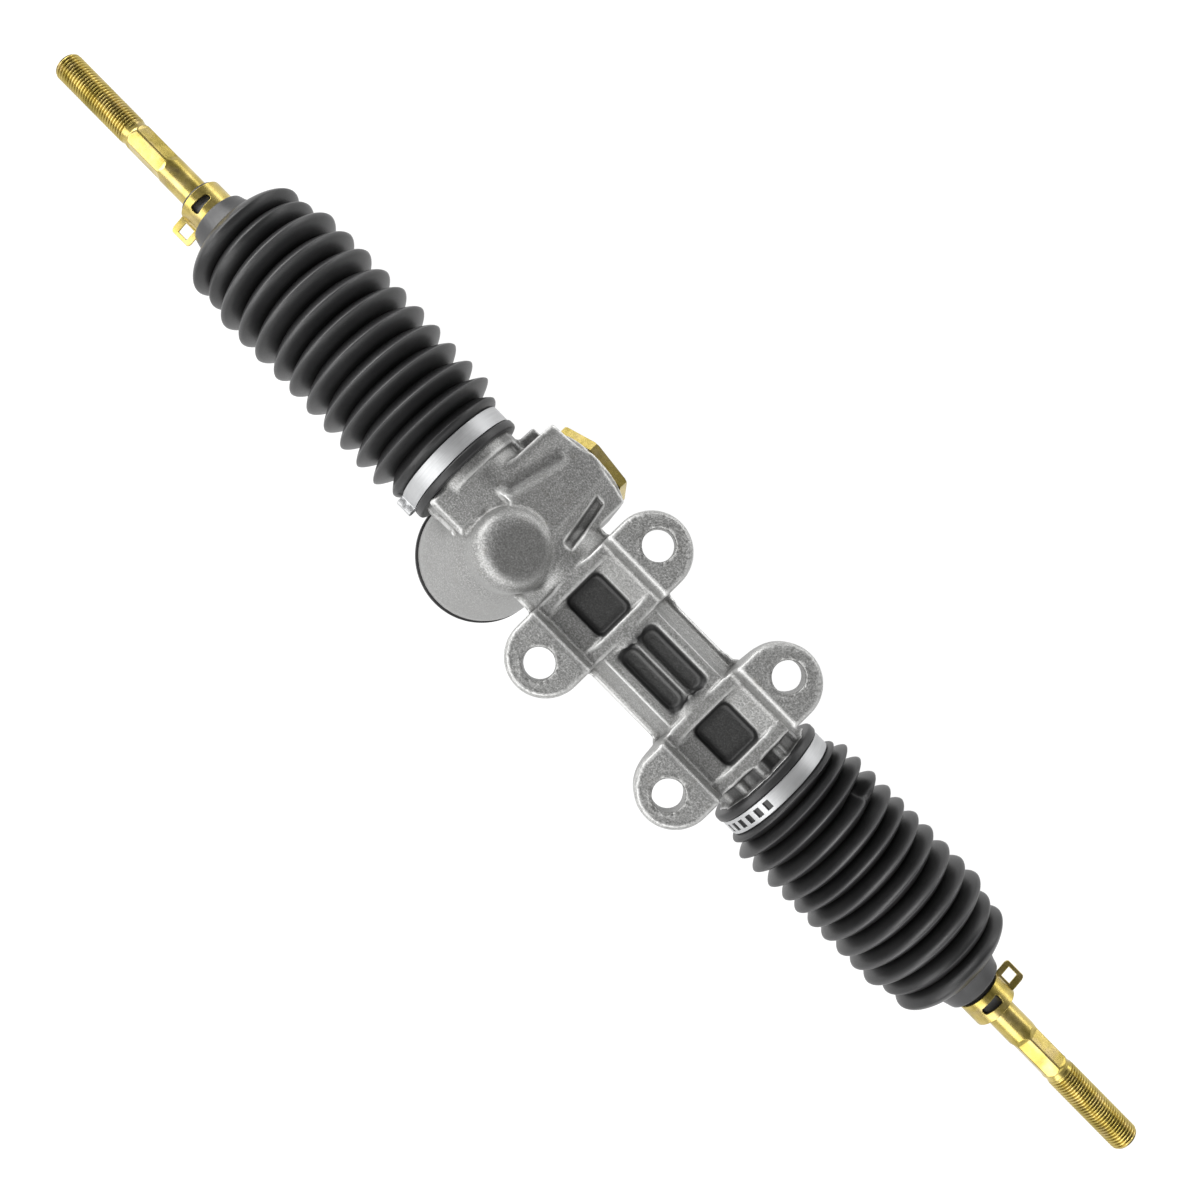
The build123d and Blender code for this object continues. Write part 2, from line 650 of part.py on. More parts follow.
def pinion_shaft():
    """The pinion with its journals and its input end."""
    gear = extrude(Pos(0, 0, -GEAR_IN) * pinion_section(), GEAR_IN + GEAR_OUT)
    journal_r = LOWER_JOURNAL_D / 2 - RUN_CLEARANCE / 2
    bore_r = BEARING_BORE / 2
    input_r = INPUT_D / 2
    journal_end = BUSH_END - BUSH_GAP
    groove_out = -(INPUT_START + INPUT_END - INPUT_GROOVE_WIDTH) / 2
    groove_in = groove_out - INPUT_GROOVE_WIDTH
    shaft = turned(
        [
            (journal_end, 0),
            (journal_end, journal_r - JOURNAL_CHAMFER),
            (journal_end - JOURNAL_CHAMFER, journal_r),
            (GEAR_OUT, journal_r),
            (GEAR_OUT, ROOT_R - ROOT_SINK),
            (-GEAR_IN, ROOT_R - ROOT_SINK),
            (-GEAR_IN, SHOULDER_D / 2),
            (-BEARING_IN, SHOULDER_D / 2),
            (-BEARING_IN, bore_r),
            (-INPUT_START, bore_r),
            (-INPUT_START, input_r),
            (groove_out, input_r),
            (groove_out - INPUT_GROOVE, input_r - INPUT_GROOVE),
            (groove_in + INPUT_GROOVE, input_r - INPUT_GROOVE),
            (groove_in, input_r),
            (-INPUT_END + INPUT_CHAMFER, input_r),
            (-INPUT_END, input_r - INPUT_CHAMFER),
            (-INPUT_END, 0),
        ],
        Axis.Z,
    )
    return PINION * (gear + shaft)


def bearing_rings():
    """The outer and inner ring of the pinion's ball bearing, with their ball tracks."""
    start = -BEARING_OUT
    end = -BEARING_IN
    middle = (start + end) / 2
    track = Pos(0, 0, middle) * Torus(BALL_TRACK_R, BALL_D / 2 + RUN_CLEARANCE / 2)
    outer = ring(BEARING_D / 2, BEARING_D / 2 - BEARING_RING, start, end, Axis.Z) - track
    inner = ring(BEARING_BORE / 2 + BEARING_RING, BEARING_BORE / 2, start, end, Axis.Z) - track
    return PINION * outer, PINION * inner


def bearing_balls():
    """The balls of the pinion's bearing."""
    middle = -(BEARING_IN + BEARING_OUT) / 2
    ball = Pos(BALL_TRACK_R, 0, middle) * Sphere(BALL_D / 2)
    balls = [PINION * Rot(0, 0, 360 * i / BALL_COUNT) * ball for i in range(BALL_COUNT)]
    return Part() + balls


def needle_bush():
    """The drawn-cup bush that carries the blind end of the pinion."""
    inner = LOWER_JOURNAL_D / 2
    return PINION * ring(inner + BUSH_WALL, inner, BUSH_START, BUSH_END, Axis.Z)


def circlip():
    """The internal circlip that holds the bearing, open at its two ears."""
    outer = BEARING_D / 2 + CIRCLIP_BITE
    band = ring(outer, outer - CIRCLIP_BAND, -CIRCLIP_OUT, -BEARING_OUT, Axis.Z)
    half = CIRCLIP_OPENING / 2
    gap = block((-half, half), (0, outer + CUT), (-CIRCLIP_OUT - CUT, CUT - BEARING_OUT))
    return PINION * (band - gap)


def oil_seal():
    """The pinion's oil seal, with its lip round the shaft."""
    outer = BEARING_D / 2
    lip = BEARING_BORE / 2 + SEAL_LIP_CLEARANCE
    start = -SEAL_OUT
    end = -CIRCLIP_OUT
    return PINION * turned(
        [
            (start, outer),
            (end, outer),
            (end, outer - SEAL_CASE),
            (start + SEAL_FACE, outer - SEAL_CASE),
            (start + SEAL_FACE, lip + 2 * SEAL_LIP),
            (end - SEAL_LIP_INSET, lip + SEAL_LIP),
            (end - SEAL_LIP_INSET, lip),
            (start, lip + SEAL_LIP),
        ],
        Axis.Z,
    )


def dust_cover():
    """The rubber cover that closes the bell, with a neck round the shaft."""
    cover_r = BELL_D / 2 + DUST_COVER_PROUD
    neck_r = BEARING_BORE / 2 + DUST_COVER_GRIP
    neck_end = -COVER_OUT - DUST_COVER_NECK
    inside = DUST_COVER_FLOOR - COVER_OUT
    cover = PINION * turned(
        [
            (-SEAL_OUT, cover_r),
            (-SEAL_OUT, neck_r + DUST_COVER_WAIST),
            (inside, neck_r + DUST_COVER_NECK_WALL),
            (inside, neck_r),
            (neck_end, neck_r),
            (neck_end, neck_r + DUST_COVER_NECK_WALL),
            (-COVER_OUT - DUST_COVER_EDGE, neck_r + 2 * DUST_COVER_NECK_WALL),
            (-COVER_OUT, neck_r + 3 * DUST_COVER_NECK_WALL),
            (-COVER_OUT, cover_r - DUST_COVER_EDGE),
            (-COVER_OUT + DUST_COVER_EDGE, cover_r),
        ],
        Axis.Z,
    )
    return cover - lip_relief()


# Yoke group, along the yoke axis


def yoke():
    """The plunger that holds the rack against the pinion."""
    body = up_z(YOKE_D / 2, YOKE_SKIRT, YOKE_TOP)
    body -= along_x(PAD_TOP, -YOKE_D, YOKE_D)
    body -= up_z(YOKE_POCKET_D / 2, YOKE_TOP - YOKE_POCKET, YOKE_TOP)
    groove_top = YOKE_TOP - O_RING_INSET
    floor = YOKE_D / 2 + RUN_CLEARANCE - O_RING_D
    body -= ring(YOKE_D, floor, groove_top - O_RING_D, groove_top, Axis.Z)
    return YOKE * body


def yoke_pad():
    """The thin low-friction liner between the yoke and the rack."""
    liner = along_x(PAD_TOP, -YOKE_D, YOKE_D) - along_x(PAD_TOP - YOKE_PAD_THICK, -YOKE_D, YOKE_D)
    return YOKE * (liner & up_z(YOKE_D / 2, YOKE_SKIRT, YOKE_TOP))


def yoke_o_ring():
    """The O-ring that quietens the yoke in its bore."""
    middle = YOKE_TOP - O_RING_INSET - O_RING_D / 2
    centre_r = YOKE_D / 2 + RUN_CLEARANCE - O_RING_D / 2
    half = (O_RING_D - O_RING_SQUEEZE) / 2
    bulge = half * tan(pi / 8)
    outline = [
        (middle - half, centre_r - bulge),
        (middle - bulge, centre_r - half),
        (middle + bulge, centre_r - half),
        (middle + half, centre_r - bulge),
        (middle + half, centre_r + bulge),
        (middle + bulge, centre_r + half),
        (middle - bulge, centre_r + half),
        (middle - half, centre_r + bulge),
    ]
    return YOKE * turned(outline, Axis.Z)


def yoke_spring():
    """The coil spring that presses the yoke on to the rack."""
    foot = YOKE_TOP - YOKE_POCKET + SPRING_WIRE / 2 + SPRING_SEAT
    head = PLUG_FOOT - SPRING_WIRE / 2 - SPRING_SEAT
    coil_r = (SPRING_D - SPRING_WIRE) / 2
    path = Pos(0, 0, foot) * Helix((head - foot) / SPRING_TURNS, head - foot, coil_r)
    section = Plane(path @ 0, z_dir=path % 0) * RegularPolygon(SPRING_WIRE / 2, 6)
    return YOKE * sweep(section, path, is_frenet=True)


def yoke_plug():
    """The threaded plug that loads the spring, with a hexagon socket."""
    body = up_z(PLUG_D / 2, PLUG_FOOT, NUT_TOP)
    hexagon = RegularPolygon(PLUG_HEX / 2, 6, major_radius=False)
    socket = Pos(0, 0, NUT_TOP - PLUG_HEX_DEPTH) * hexagon
    return YOKE * (body - extrude(socket, PLUG_HEX_DEPTH))


def yoke_lock_nut():
    """The thin hexagon nut that locks the plug."""
    hexagon = RegularPolygon(NUT_HEX / 2, 6, major_radius=False)
    body = extrude(Pos(0, 0, RIM_TOP) * Rot(0, 0, NUT_TURN) * hexagon, NUT_THICK)
    corner_r = NUT_HEX / sqrt(3)
    body &= turned(
        [
            (RIM_TOP, 0),
            (RIM_TOP, corner_r),
            (NUT_TOP - NUT_CHAMFER, corner_r),
            (NUT_TOP, corner_r - 2 * NUT_CHAMFER),
            (NUT_TOP, 0),
        ],
        Axis.Z,
    )
    return YOKE * (body - up_z(PLUG_D / 2, RIM_TOP, NUT_TOP))


# Rack bush, stops and ball joints


def rack_bush():
    """The plain bush that carries the free end of the rack."""
    end = RIGHT_END_X - (STOP_THICK - STOP_PROUD)
    inner = RACK_D / 2 + RUN_CLEARANCE
    return ring(inner + RACK_BUSH_WALL, inner, end - RACK_BUSH_LENGTH, end)


def travel_stop(side):
    """The ring in each end of the housing that the inner ball joint comes up against."""
    end = HOUSING_MID_X + side * HOUSING_LENGTH / 2
    inner = end - side * (STOP_THICK - STOP_PROUD)
    outer = end + side * STOP_PROUD
    return ring(STOP_D / 2, RACK_BORE_D / 2, min(inner, outer), max(inner, outer))


def lock_washer(side):
    """The tab washer between rack and socket, with two tabs bent over the socket's flats."""
    start = outward(side, RACK_REACH)
    end = outward(side, SOCKET_REACH)
    body = ring(WASHER_D / 2, STUD_D / 2, min(start, end), max(start, end))
    tab_end = outward(side, SOCKET_REACH + WASHER_TAB)
    for z in (-1, 1):
        inner = z * SOCKET_FLAT / 2
        outer = z * (SOCKET_FLAT / 2 + WASHER_THICK)
        tab = block(
            (min(start, tab_end), max(start, tab_end)),
            (-WASHER_TAB, WASHER_TAB),
            (min(inner, outer), max(inner, outer)),
        )
        body += tab
    return body


def ball_socket(side):
    """The housing of the inner ball joint, with its stud and wrench flats."""
    face = outward(side, SOCKET_REACH)
    centre = outward(side, BALL_REACH)
    mouth = outward(side, BALL_REACH + SOCKET_LIP)
    stud_end = outward(side, SOCKET_REACH - STUD_LENGTH)
    cavity_r = BALL_JOINT_D / 2 + BALL_SEAT_WALL + 2 * BALL_CLEARANCE
    lip_r = sqrt(cavity_r**2 - SOCKET_GRIP**2)
    flare = tan(radians(SOCKET_MOUTH_ANGLE))
    body = along_x(SOCKET_D / 2, min(face, mouth), max(face, mouth))
    body += along_x(STUD_D / 2, min(face, stud_end), max(face, stud_end))
    body -= Pos(centre, 0, 0) * Sphere(cavity_r)
    far = SOCKET_LIP + CUT
    body -= turned(
        [
            (centre, 0),
            (centre, lip_r),
            (centre + side * SOCKET_GRIP, lip_r),
            (centre + side * far, lip_r + (far - SOCKET_GRIP) * flare),
            (centre + side * far, 0),
        ]
    )
    flat_end = outward(side, SOCKET_REACH + SOCKET_FLAT_LENGTH)
    for z in (-1, 1):
        inner = z * SOCKET_FLAT / 2
        outer = z * SOCKET_D
        body -= block(
            (min(face, flat_end), max(face, flat_end)),
            (-SOCKET_D, SOCKET_D),
            (min(inner, outer), max(inner, outer)),
        )
    return body


def ball_seat(side):
    """The plastic cup round the ball."""
    centre = outward(side, BALL_REACH)
    inner = BALL_JOINT_D / 2 + BALL_CLEARANCE
    shell = Sphere(inner + BALL_SEAT_WALL) - Sphere(inner)
    lip = side * BALL_SEAT_LIP
    floor = -side * BALL_SEAT_FLOOR
    shell &= along_x(SOCKET_D, min(lip, floor), max(lip, floor))
    return Pos(centre, 0, 0) * shell


def tie_rod(side):
    """The inner tie rod: ball, neck, body with its clip groove, hexagon and thread."""
    thread_in = TIP_REACH - THREAD_LENGTH
    hex_out = thread_in - RUNOUT_LENGTH
    hex_in = hex_out - HEX_LENGTH
    hex_corner = HEX_ACROSS / sqrt(3)
    groove_in = BELLOWS_REACH
    groove_out = BELLOWS_REACH + BELLOWS_NECK_LENGTH
    body_in = groove_in - ROD_LEAD
    outline = [
        (BALL_REACH, 0),
        (BALL_REACH, ROD_NECK_D / 2),
        (body_in - ROD_TAPER, ROD_NECK_D / 2),
        (body_in, ROD_D / 2),
        (groove_in, ROD_D / 2),
        (groove_in, GROOVE_D / 2),
        (groove_out, GROOVE_D / 2),
        (groove_out, ROD_D / 2),
        (hex_in - HEX_TAPER, ROD_D / 2),
        (hex_in, hex_corner),
        (hex_out, hex_corner),
        (hex_out, RUNOUT_D / 2),
        (thread_in, RUNOUT_D / 2),
        (thread_in, THREAD_D / 2),
        (TIP_REACH - THREAD_CHAMFER, THREAD_D / 2),
        (TIP_REACH, THREAD_D / 2 - THREAD_CHAMFER),
        (TIP_REACH, 0),
    ]
    body = turned([(outward(side, reach), radius) for reach, radius in outline])
    body += Pos(outward(side, BALL_REACH), 0, 0) * Sphere(BALL_JOINT_D / 2)
    start = min(outward(side, hex_in), outward(side, hex_out))
    turn = LEFT_HEX_TURN if side < 0 else RIGHT_HEX_TURN
    section = RegularPolygon(HEX_ACROSS / 2, 6, major_radius=False, rotation=30)
    hexagon = Rot(turn, 0, 0) * Pos(start, 0, 0) * Rot(0, 90, 0) * extrude(section, HEX_LENGTH)
    return body - (along_x(ROD_D, start, start + HEX_LENGTH) - hexagon)


# Bellows and clamps


def bellows(side, band_width):
    """The rubber bellows, from its lip on the housing to its neck on the tie rod."""
    lip = LEFT_SEAT_X if side < 0 else RIGHT_SEAT_X
    end = outward(side, BELLOWS_REACH)
    length = abs(end - lip)
    cuff_end = LIP_LENGTH + band_width + 2 * BAND_GAP
    last = length - COLLAR_SMALL_LENGTH
    first_crest = cuff_end + FIRST_CREST
    shares = LEFT_CRESTS if side < 0 else RIGHT_CRESTS
    crests = [first_crest + share * (last - LAST_CREST - first_crest) for share in shares]
    ends = (0, len(crests) - 2, len(crests) - 1)
    outer = [
        (0, LIP_D / 2),
        (LIP_LENGTH, LIP_D / 2),
        (LIP_LENGTH, CUFF_D / 2),
        (cuff_end, CUFF_D / 2),
    ]
    for i, (crest, following) in enumerate(zip(crests, crests[1:] + [last])):
        crest_d = END_CREST_D if i in ends else CREST_D
        outer.append((crest, crest_d / 2))
        outer.append(((crest + following) / 2, VALLEY_D / 2))
    outer.append((last, COLLAR_SMALL_D / 2))
    outer.append((length, COLLAR_SMALL_D / 2))
    outer.append((length, BELLOWS_NECK_D / 2))
    outer.append((length + BELLOWS_NECK_LENGTH, BELLOWS_NECK_D / 2))
    neck_bore = GROOVE_D / 2 + BELLOWS_NECK_GAP
    collar_bore = ROD_D / 2 + BELLOWS_NECK_GAP
    bore = VALLEY_D / 2 - BELLOWS_WALL
    inner = [
        (length + BELLOWS_NECK_LENGTH, neck_bore),
        (length, neck_bore),
        (length, collar_bore),
        (last - 2 * BELLOWS_WALL, collar_bore),
        (last - LAST_CREST, bore),
        (SEAT_LENGTH, bore),
        (SEAT_LENGTH, SEAT_D / 2),
        (0, SEAT_D / 2),
    ]
    return turned([(lip + side * a, r) for a, r in outer + inner])


def large_clamp(side, width, buckle_angle):
    """A large band clamp on the cuff of a bellows, with its buckle."""
    lip = LEFT_SEAT_X if side < 0 else RIGHT_SEAT_X
    near = lip + side * (LIP_LENGTH + BAND_GAP)
    far = near + side * width
    start = min(near, far)
    end = max(near, far)
    inner = CUFF_D / 2
    body = ring(inner + BAND_THICK, inner, start, end)
    buckle = block(
        (start, end),
        (-BUCKLE_LENGTH / 2, BUCKLE_LENGTH / 2),
        (inner + BAND_THICK / 2, inner + BAND_THICK + BUCKLE_HEIGHT),
    )
    return body + Rot(buckle_angle, 0, 0) * buckle


def perforated_clamp(side, width, buckle_angle):
    """The large clamp of the other kind, with a row of slots in its band."""
    body = large_clamp(side, width, buckle_angle)
    middle = RIGHT_SEAT_X + LIP_LENGTH + BAND_GAP + width / 2
    outer = CUFF_D / 2 + BAND_THICK
    slot = block(
        (middle - SLOT_ACROSS / 2, middle + SLOT_ACROSS / 2),
        (-SLOT_ALONG / 2, SLOT_ALONG / 2),
        (outer - 2 * BAND_THICK, outer + CUT),
    )
    for i in range(SLOT_COUNT):
        body -= Rot(SLOT_START_ANGLE + degrees(i * SLOT_PITCH / outer), 0, 0) * slot
    return body


def small_clamp(side):
    """The spring clip on the neck of a bellows, with its two-strip loop."""
    start = outward(side, BELLOWS_REACH + (BELLOWS_NECK_LENGTH - CLIP_WIDTH) / 2)
    end = start + side * CLIP_WIDTH
    middle = (start + end) / 2
    inner = BELLOWS_NECK_D / 2 + CLIP_GAP
    outer = inner + CLIP_THICK
    body = ring(outer, inner, min(start, end), max(start, end))
    window = block(
        (middle - WINDOW_X / 2, middle + WINDOW_X / 2),
        (-WINDOW_LENGTH / 2, WINDOW_LENGTH / 2),
        (0, 2 * outer),
    )
    body -= Rot(WINDOW_ANGLE, 0, 0) * window
    loop = block(
        (middle - CLIP_WIDTH / 2, middle + CLIP_WIDTH / 2),
        (inner, outer + LOOP_LENGTH),
        (-CLIP_THICK / 2, CLIP_THICK / 2),
    )
    loop -= block(
        (middle - CLIP_WIDTH / 2 + LOOP_STRIP, middle + CLIP_WIDTH / 2 - LOOP_STRIP),
        (outer, outer + LOOP_LENGTH - LOOP_STRIP),
        (-CLIP_THICK, CLIP_THICK),
    )
    if side < 0:
        loop = Rot(180, 0, 0) * loop
    return body + loop


def pieces():
    """Every piece of the steering gear, by name."""
    outer_ring, inner_ring = bearing_rings()
    made = {
        "rack_housing": housing(),
        "rack_bar": rack_bar(),
        "rack_bush": rack_bush(),
        "pinion_shaft": pinion_shaft(),
        "pinion_bearing_outer_ring": outer_ring,
        "pinion_bearing_inner_ring": inner_ring,
        "pinion_bearing_balls": bearing_balls(),
        "pinion_needle_bush": needle_bush(),
        "pinion_circlip": circlip(),
        "pinion_oil_seal": oil_seal(),
        "pinion_dust_cover": dust_cover(),
        "yoke": yoke(),
        "yoke_pad": yoke_pad(),
        "yoke_o_ring": yoke_o_ring(),
        "yoke_spring": yoke_spring(),
        "yoke_plug": yoke_plug(),
        "yoke_lock_nut": yoke_lock_nut(),
        "left_large_clamp": large_clamp(-1, LEFT_BAND_WIDTH, LEFT_BUCKLE_ANGLE),
        "right_large_clamp": perforated_clamp(1, RIGHT_BAND_WIDTH, RIGHT_BUCKLE_ANGLE),
    }
    for name, side, band_width in (
        ("left", -1, LEFT_BAND_WIDTH),
        ("right", 1, RIGHT_BAND_WIDTH),
    ):
        made[name + "_travel_stop"] = travel_stop(side)
        made[name + "_lock_washer"] = lock_washer(side)
        made[name + "_ball_socket"] = ball_socket(side)
        made[name + "_ball_seat"] = ball_seat(side)
        made[name + "_tie_rod"] = tie_rod(side)
        made[name + "_bellows"] = bellows(side, band_width)
        made[name + "_small_clamp"] = small_clamp(side)
    return made


for name, solid in pieces().items():
    export_step(TO_MOUNT * solid, "parts/" + name + ".step")
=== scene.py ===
from math import atan2, cos, pi, radians, sin

import bmesh
import bpy
import numpy as np
import openvdb
from mathutils import Matrix, Vector


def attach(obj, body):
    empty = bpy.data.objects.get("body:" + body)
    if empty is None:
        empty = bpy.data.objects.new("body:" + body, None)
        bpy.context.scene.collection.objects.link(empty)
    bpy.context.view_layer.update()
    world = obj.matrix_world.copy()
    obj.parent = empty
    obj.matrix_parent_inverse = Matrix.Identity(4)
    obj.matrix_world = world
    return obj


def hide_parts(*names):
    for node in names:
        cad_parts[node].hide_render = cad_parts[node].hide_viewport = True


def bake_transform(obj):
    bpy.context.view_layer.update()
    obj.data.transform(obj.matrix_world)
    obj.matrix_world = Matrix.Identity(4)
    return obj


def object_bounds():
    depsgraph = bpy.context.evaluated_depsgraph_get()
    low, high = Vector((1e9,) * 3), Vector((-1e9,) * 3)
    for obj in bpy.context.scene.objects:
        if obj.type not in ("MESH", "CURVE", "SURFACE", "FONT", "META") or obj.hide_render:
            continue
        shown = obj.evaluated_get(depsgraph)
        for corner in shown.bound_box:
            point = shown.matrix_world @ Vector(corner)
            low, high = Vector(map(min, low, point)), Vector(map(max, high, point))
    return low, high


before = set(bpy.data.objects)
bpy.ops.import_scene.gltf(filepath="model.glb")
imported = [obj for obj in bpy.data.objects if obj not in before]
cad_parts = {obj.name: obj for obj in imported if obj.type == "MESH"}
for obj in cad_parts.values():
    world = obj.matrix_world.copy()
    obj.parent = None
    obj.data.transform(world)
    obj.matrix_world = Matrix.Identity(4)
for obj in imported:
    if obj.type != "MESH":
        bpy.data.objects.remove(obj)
cad_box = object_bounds()
scene = bpy.context.scene

# Sizes are in millimetres round the rack axis, which runs along X, unless a line says metres.
# Angles round that axis start at +Z and turn towards -Y. Soft steps, which many shapes below are
# made with, are pairs of (where the step is 0, where it is 1).
MM = 0.001
AXIS_Z = -28.0  # the rack axis lies this far below the faces of the ears
RACK_MID_X = -35.5  # middle of the rack bar
LEFT, RIGHT = -1, 1
SIDE_NAME = {LEFT: "left", RIGHT: "right"}
LIP_X = {LEFT: -106.0, RIGHT: 56.0}  # where each bellows starts on the housing
BALL_REACH = 158.9  # from the middle of the rack bar to the middle of a rod's ball
BALL_R = 10.0

# The camera looks straight down on the ears, turned so that the rack runs across the picture.
CAMERA_X = -34.85
CAMERA_Y = 1.5
CAMERA_HEIGHT = 500.0  # above the rack axis
CAMERA_RIGHT = (0.702, 0.712, 0.0)
HALF_VIEW = 233.3  # half the width that the camera sees at the rack axis
SENSOR = 36.0


def place(points):
    """Points round the rack axis, in millimetres, to the row frame in metres."""
    moved = np.array(points, float).reshape(-1, 3)
    moved[:, 2] += AXIS_Z
    return moved * MM


def smooth(low, high, value):
    """A soft step from 0 at low to 1 at high."""
    t = np.clip((np.asarray(value, float) - low) / (high - low), 0, 1)
    return t * t * (3 - 2 * t)


def window(rise, fall, value):
    """1 between two soft steps, and 0 outside them."""
    return smooth(*rise, value) * smooth(*fall, value)


def hill(value, middle, width):
    """A smooth hill with a height of 1."""
    return np.exp(-((value - middle) / width) ** 2)


# Materials

NOISE_SHIFT = (1.0, 0.37, 0.71)  # which way a noise is shifted, so that two noises differ
NOISE_MIDDLE = (0.3, 0.7)  # the range that most of a noise lies in
NOISE_WIDE = (0.25, 0.75)


def add_node(tree, kind, inputs=None, **settings):
    """A new node. Its inputs take numbers, vectors, colours, or the sockets that feed them."""
    made = tree.nodes.new(kind)
    for key, value in settings.items():
        setattr(made, key, value)
    for key, value in (inputs or {}).items():
        socket = made.inputs[key]
        if isinstance(value, bpy.types.NodeSocket):
            tree.links.new(value, socket)
        elif socket.type == "RGBA":
            socket.default_value = (*value, 1.0)
        else:
            socket.default_value = value
    return made


def colour_ramp(tree, value, *stops):
    """Colours along a value, from stops of (position, colour)."""
    made = add_node(tree, "ShaderNodeValToRGB", {"Fac": value})
    bar = made.color_ramp
    bar.elements[0].position = stops[0][0]
    bar.elements[1].position = stops[-1][0]
    for at, _ in stops[1:-1]:
        bar.elements.new(at)
    for element, (_, colour) in zip(bar.elements, stops):
        element.color = (*colour, 1.0)
    return made.outputs["Color"]


def map_range(tree, value, low, high, to_low, to_high):
    made = add_node(tree, "ShaderNodeMapRange", {
        "From Min": low, "From Max": high, "To Min": to_low, "To Max": to_high, "Value": value,
    })
    return made.outputs["Result"]


class Finish:
    """A material made of nodes, on the object's own coordinates in metres."""

    def __init__(self, name):
        self.material = bpy.data.materials.new(name)
        self.material.use_nodes = True
        self.tree = self.material.node_tree
        self.surface = self.tree.nodes["Principled BSDF"]
        self.coordinates = self.node("ShaderNodeTexCoord")

    def node(self, kind, inputs=None, **settings):
        return add_node(self.tree, kind, inputs, **settings)

    def feed(self, name, value):
        self.tree.links.new(value, self.surface.inputs[name])

    def constant(self, **values):
        """Numbers on the shader's own sockets."""
        for name, value in values.items():
            self.surface.inputs[name.replace("_", " ")].default_value = value

    def spots(self, size, detail=3.0, rough=0.55, stretch=(1, 1, 1), space="Object", shift=0.0):
        """Soft noise with spots of about the given size in millimetres."""
        mapping = self.node("ShaderNodeMapping", {
            "Scale": [s / (size * MM) for s in stretch],
            "Location": [share * shift for share in NOISE_SHIFT],
            "Vector": self.coordinates.outputs[space],
        })
        noise = self.node("ShaderNodeTexNoise", {
            "Scale": 1.0, "Detail": detail, "Roughness": rough, "Vector": mapping.outputs["Vector"],
        })
        return noise.outputs["Fac"]

    def attribute(self, name):
        return self.node("ShaderNodeAttribute", attribute_name=name).outputs["Fac"]

    def ramp(self, value, *stops):
        return colour_ramp(self.tree, value, *stops)

    def mix(self, factor, first, second):
        """A blend of two colours. The RGBA inputs of the node have the numbers 6 and 7."""
        inputs = {0: factor, 6: first, 7: second}
        return self.node("ShaderNodeMix", inputs, data_type="RGBA").outputs[2]

    def tint(self, base, colour, amount, value, low=0.0, high=1.0):
        """The base turned towards a colour by up to an amount, as a value goes from low to high."""
        return self.mix(map_range(self.tree, value, low, high, 0.0, amount), base, colour)

    def colour(self, value):
        self.feed("Base Color", value)

    def roughness(self, value, low, high, span=NOISE_MIDDLE):
        """Roughness from low to high, as a noise goes through its span."""
        self.feed("Roughness", map_range(self.tree, value, *span, low, high))

    def bump(self, *layers):
        """Layers of (height, depth in millimetres, strength)."""
        below = {}
        for height, depth, strength in layers:
            inputs = {"Distance": depth * MM, "Strength": strength, "Height": height, **below}
            below = {"Normal": self.node("ShaderNodeBump", inputs).outputs["Normal"]}
        self.feed("Normal", below["Normal"])


def cast_aluminium():
    """Die-cast aluminium: grainy grey, with painted highlight and some wear on its edges, and
    painted shade in its creases, pockets and boss disc; its bell is painted lighter.
    """
    made = Finish("cast_aluminium")
    coarse = made.spots(1.1, 2.0, 0.55)
    grain = made.spots(0.62, 2.0, 0.6, shift=1.0)
    fine = made.spots(0.28, 1.0, 0.5, shift=4.0)
    broad = made.spots(15.0, 3.0, 0.6, shift=2.0)
    stain = made.spots(6.0, 4.0, 0.65, shift=9.0)
    edge = made.attribute("edge")
    base = made.ramp(
        grain,
        (0.30, (0.17, 0.17, 0.165)),
        (0.50, (0.30, 0.30, 0.295)),
        (0.70, (0.52, 0.52, 0.51)),
    )
    base = made.tint(base, (0.22, 0.22, 0.215), 0.45, coarse, 0.35, 0.70)
    base = made.tint(base, (0.27, 0.268, 0.26), 0.30, broad, 0.35, 0.70)
    base = made.tint(base, (0.18, 0.165, 0.13), 0.35, stain, 0.60, 0.80)
    # edge mark: painted highlight on convex edges, also standing for worn edges, and painted shade
    # in concave creases
    base = made.tint(base, (0.74, 0.74, 0.73), 0.80, edge, 0.08, 0.50)
    base = made.tint(base, (0.09, 0.088, 0.083), 0.55, edge, -0.10, -0.60)
    # painted light on the bell, and painted shade, a dark reflection, on the boss's disc
    base = made.tint(base, (0.34, 0.34, 0.335), 0.30, made.attribute("bell"))
    base = made.tint(base, (0.14, 0.14, 0.135), 0.45, made.attribute("painted_disc_shade"))
    # painted shade in the pockets, the collar trench, the lug and the tower's groove and slot
    made.colour(made.mix(made.attribute("painted_hollow_shade"), base, (0.030, 0.030, 0.030)))
    made.constant(Metallic=0.7)
    made.roughness(grain, 0.38, 0.54)
    made.bump((broad, 0.3, 0.30), (coarse, 0.12, 0.50), (grain, 0.10, 0.55), (fine, 0.03, 0.35))
    return made.material


def bellows_rubber():
    """Moulded black rubber with a satin skin and a little bloom, with a painted highlight on its
    crests, paler on its collar, and painted shade in its valleys.
    """
    made = Finish("bellows_rubber")
    skin = made.spots(0.35, 2.0, 0.6)
    bloom = made.spots(16.0, 4.0, 0.6, shift=3.0)
    scuff = made.spots(2.2, 5.0, 0.7, stretch=(2.0, 0.5, 0.5), shift=7.0)
    base = made.ramp(bloom, (0.32, (0.014, 0.014, 0.0145)), (0.70, (0.024, 0.024, 0.0245)))
    base = made.tint(base, (0.050, 0.050, 0.051), 0.30, scuff, 0.60, 0.78)
    # painted highlight on the crests and a paler collar, then painted shade in the valleys
    base = made.mix(made.attribute("crest"), base, (0.050, 0.050, 0.051))
    base = made.mix(made.attribute("valley"), base, (0.004, 0.004, 0.004))
    made.colour(base)
    made.roughness(skin, 0.34, 0.46)
    made.constant(Specular_IOR_Level=0.45)
    made.bump((scuff, 0.05, 0.25), (skin, 0.03, 0.35))
    return made.material


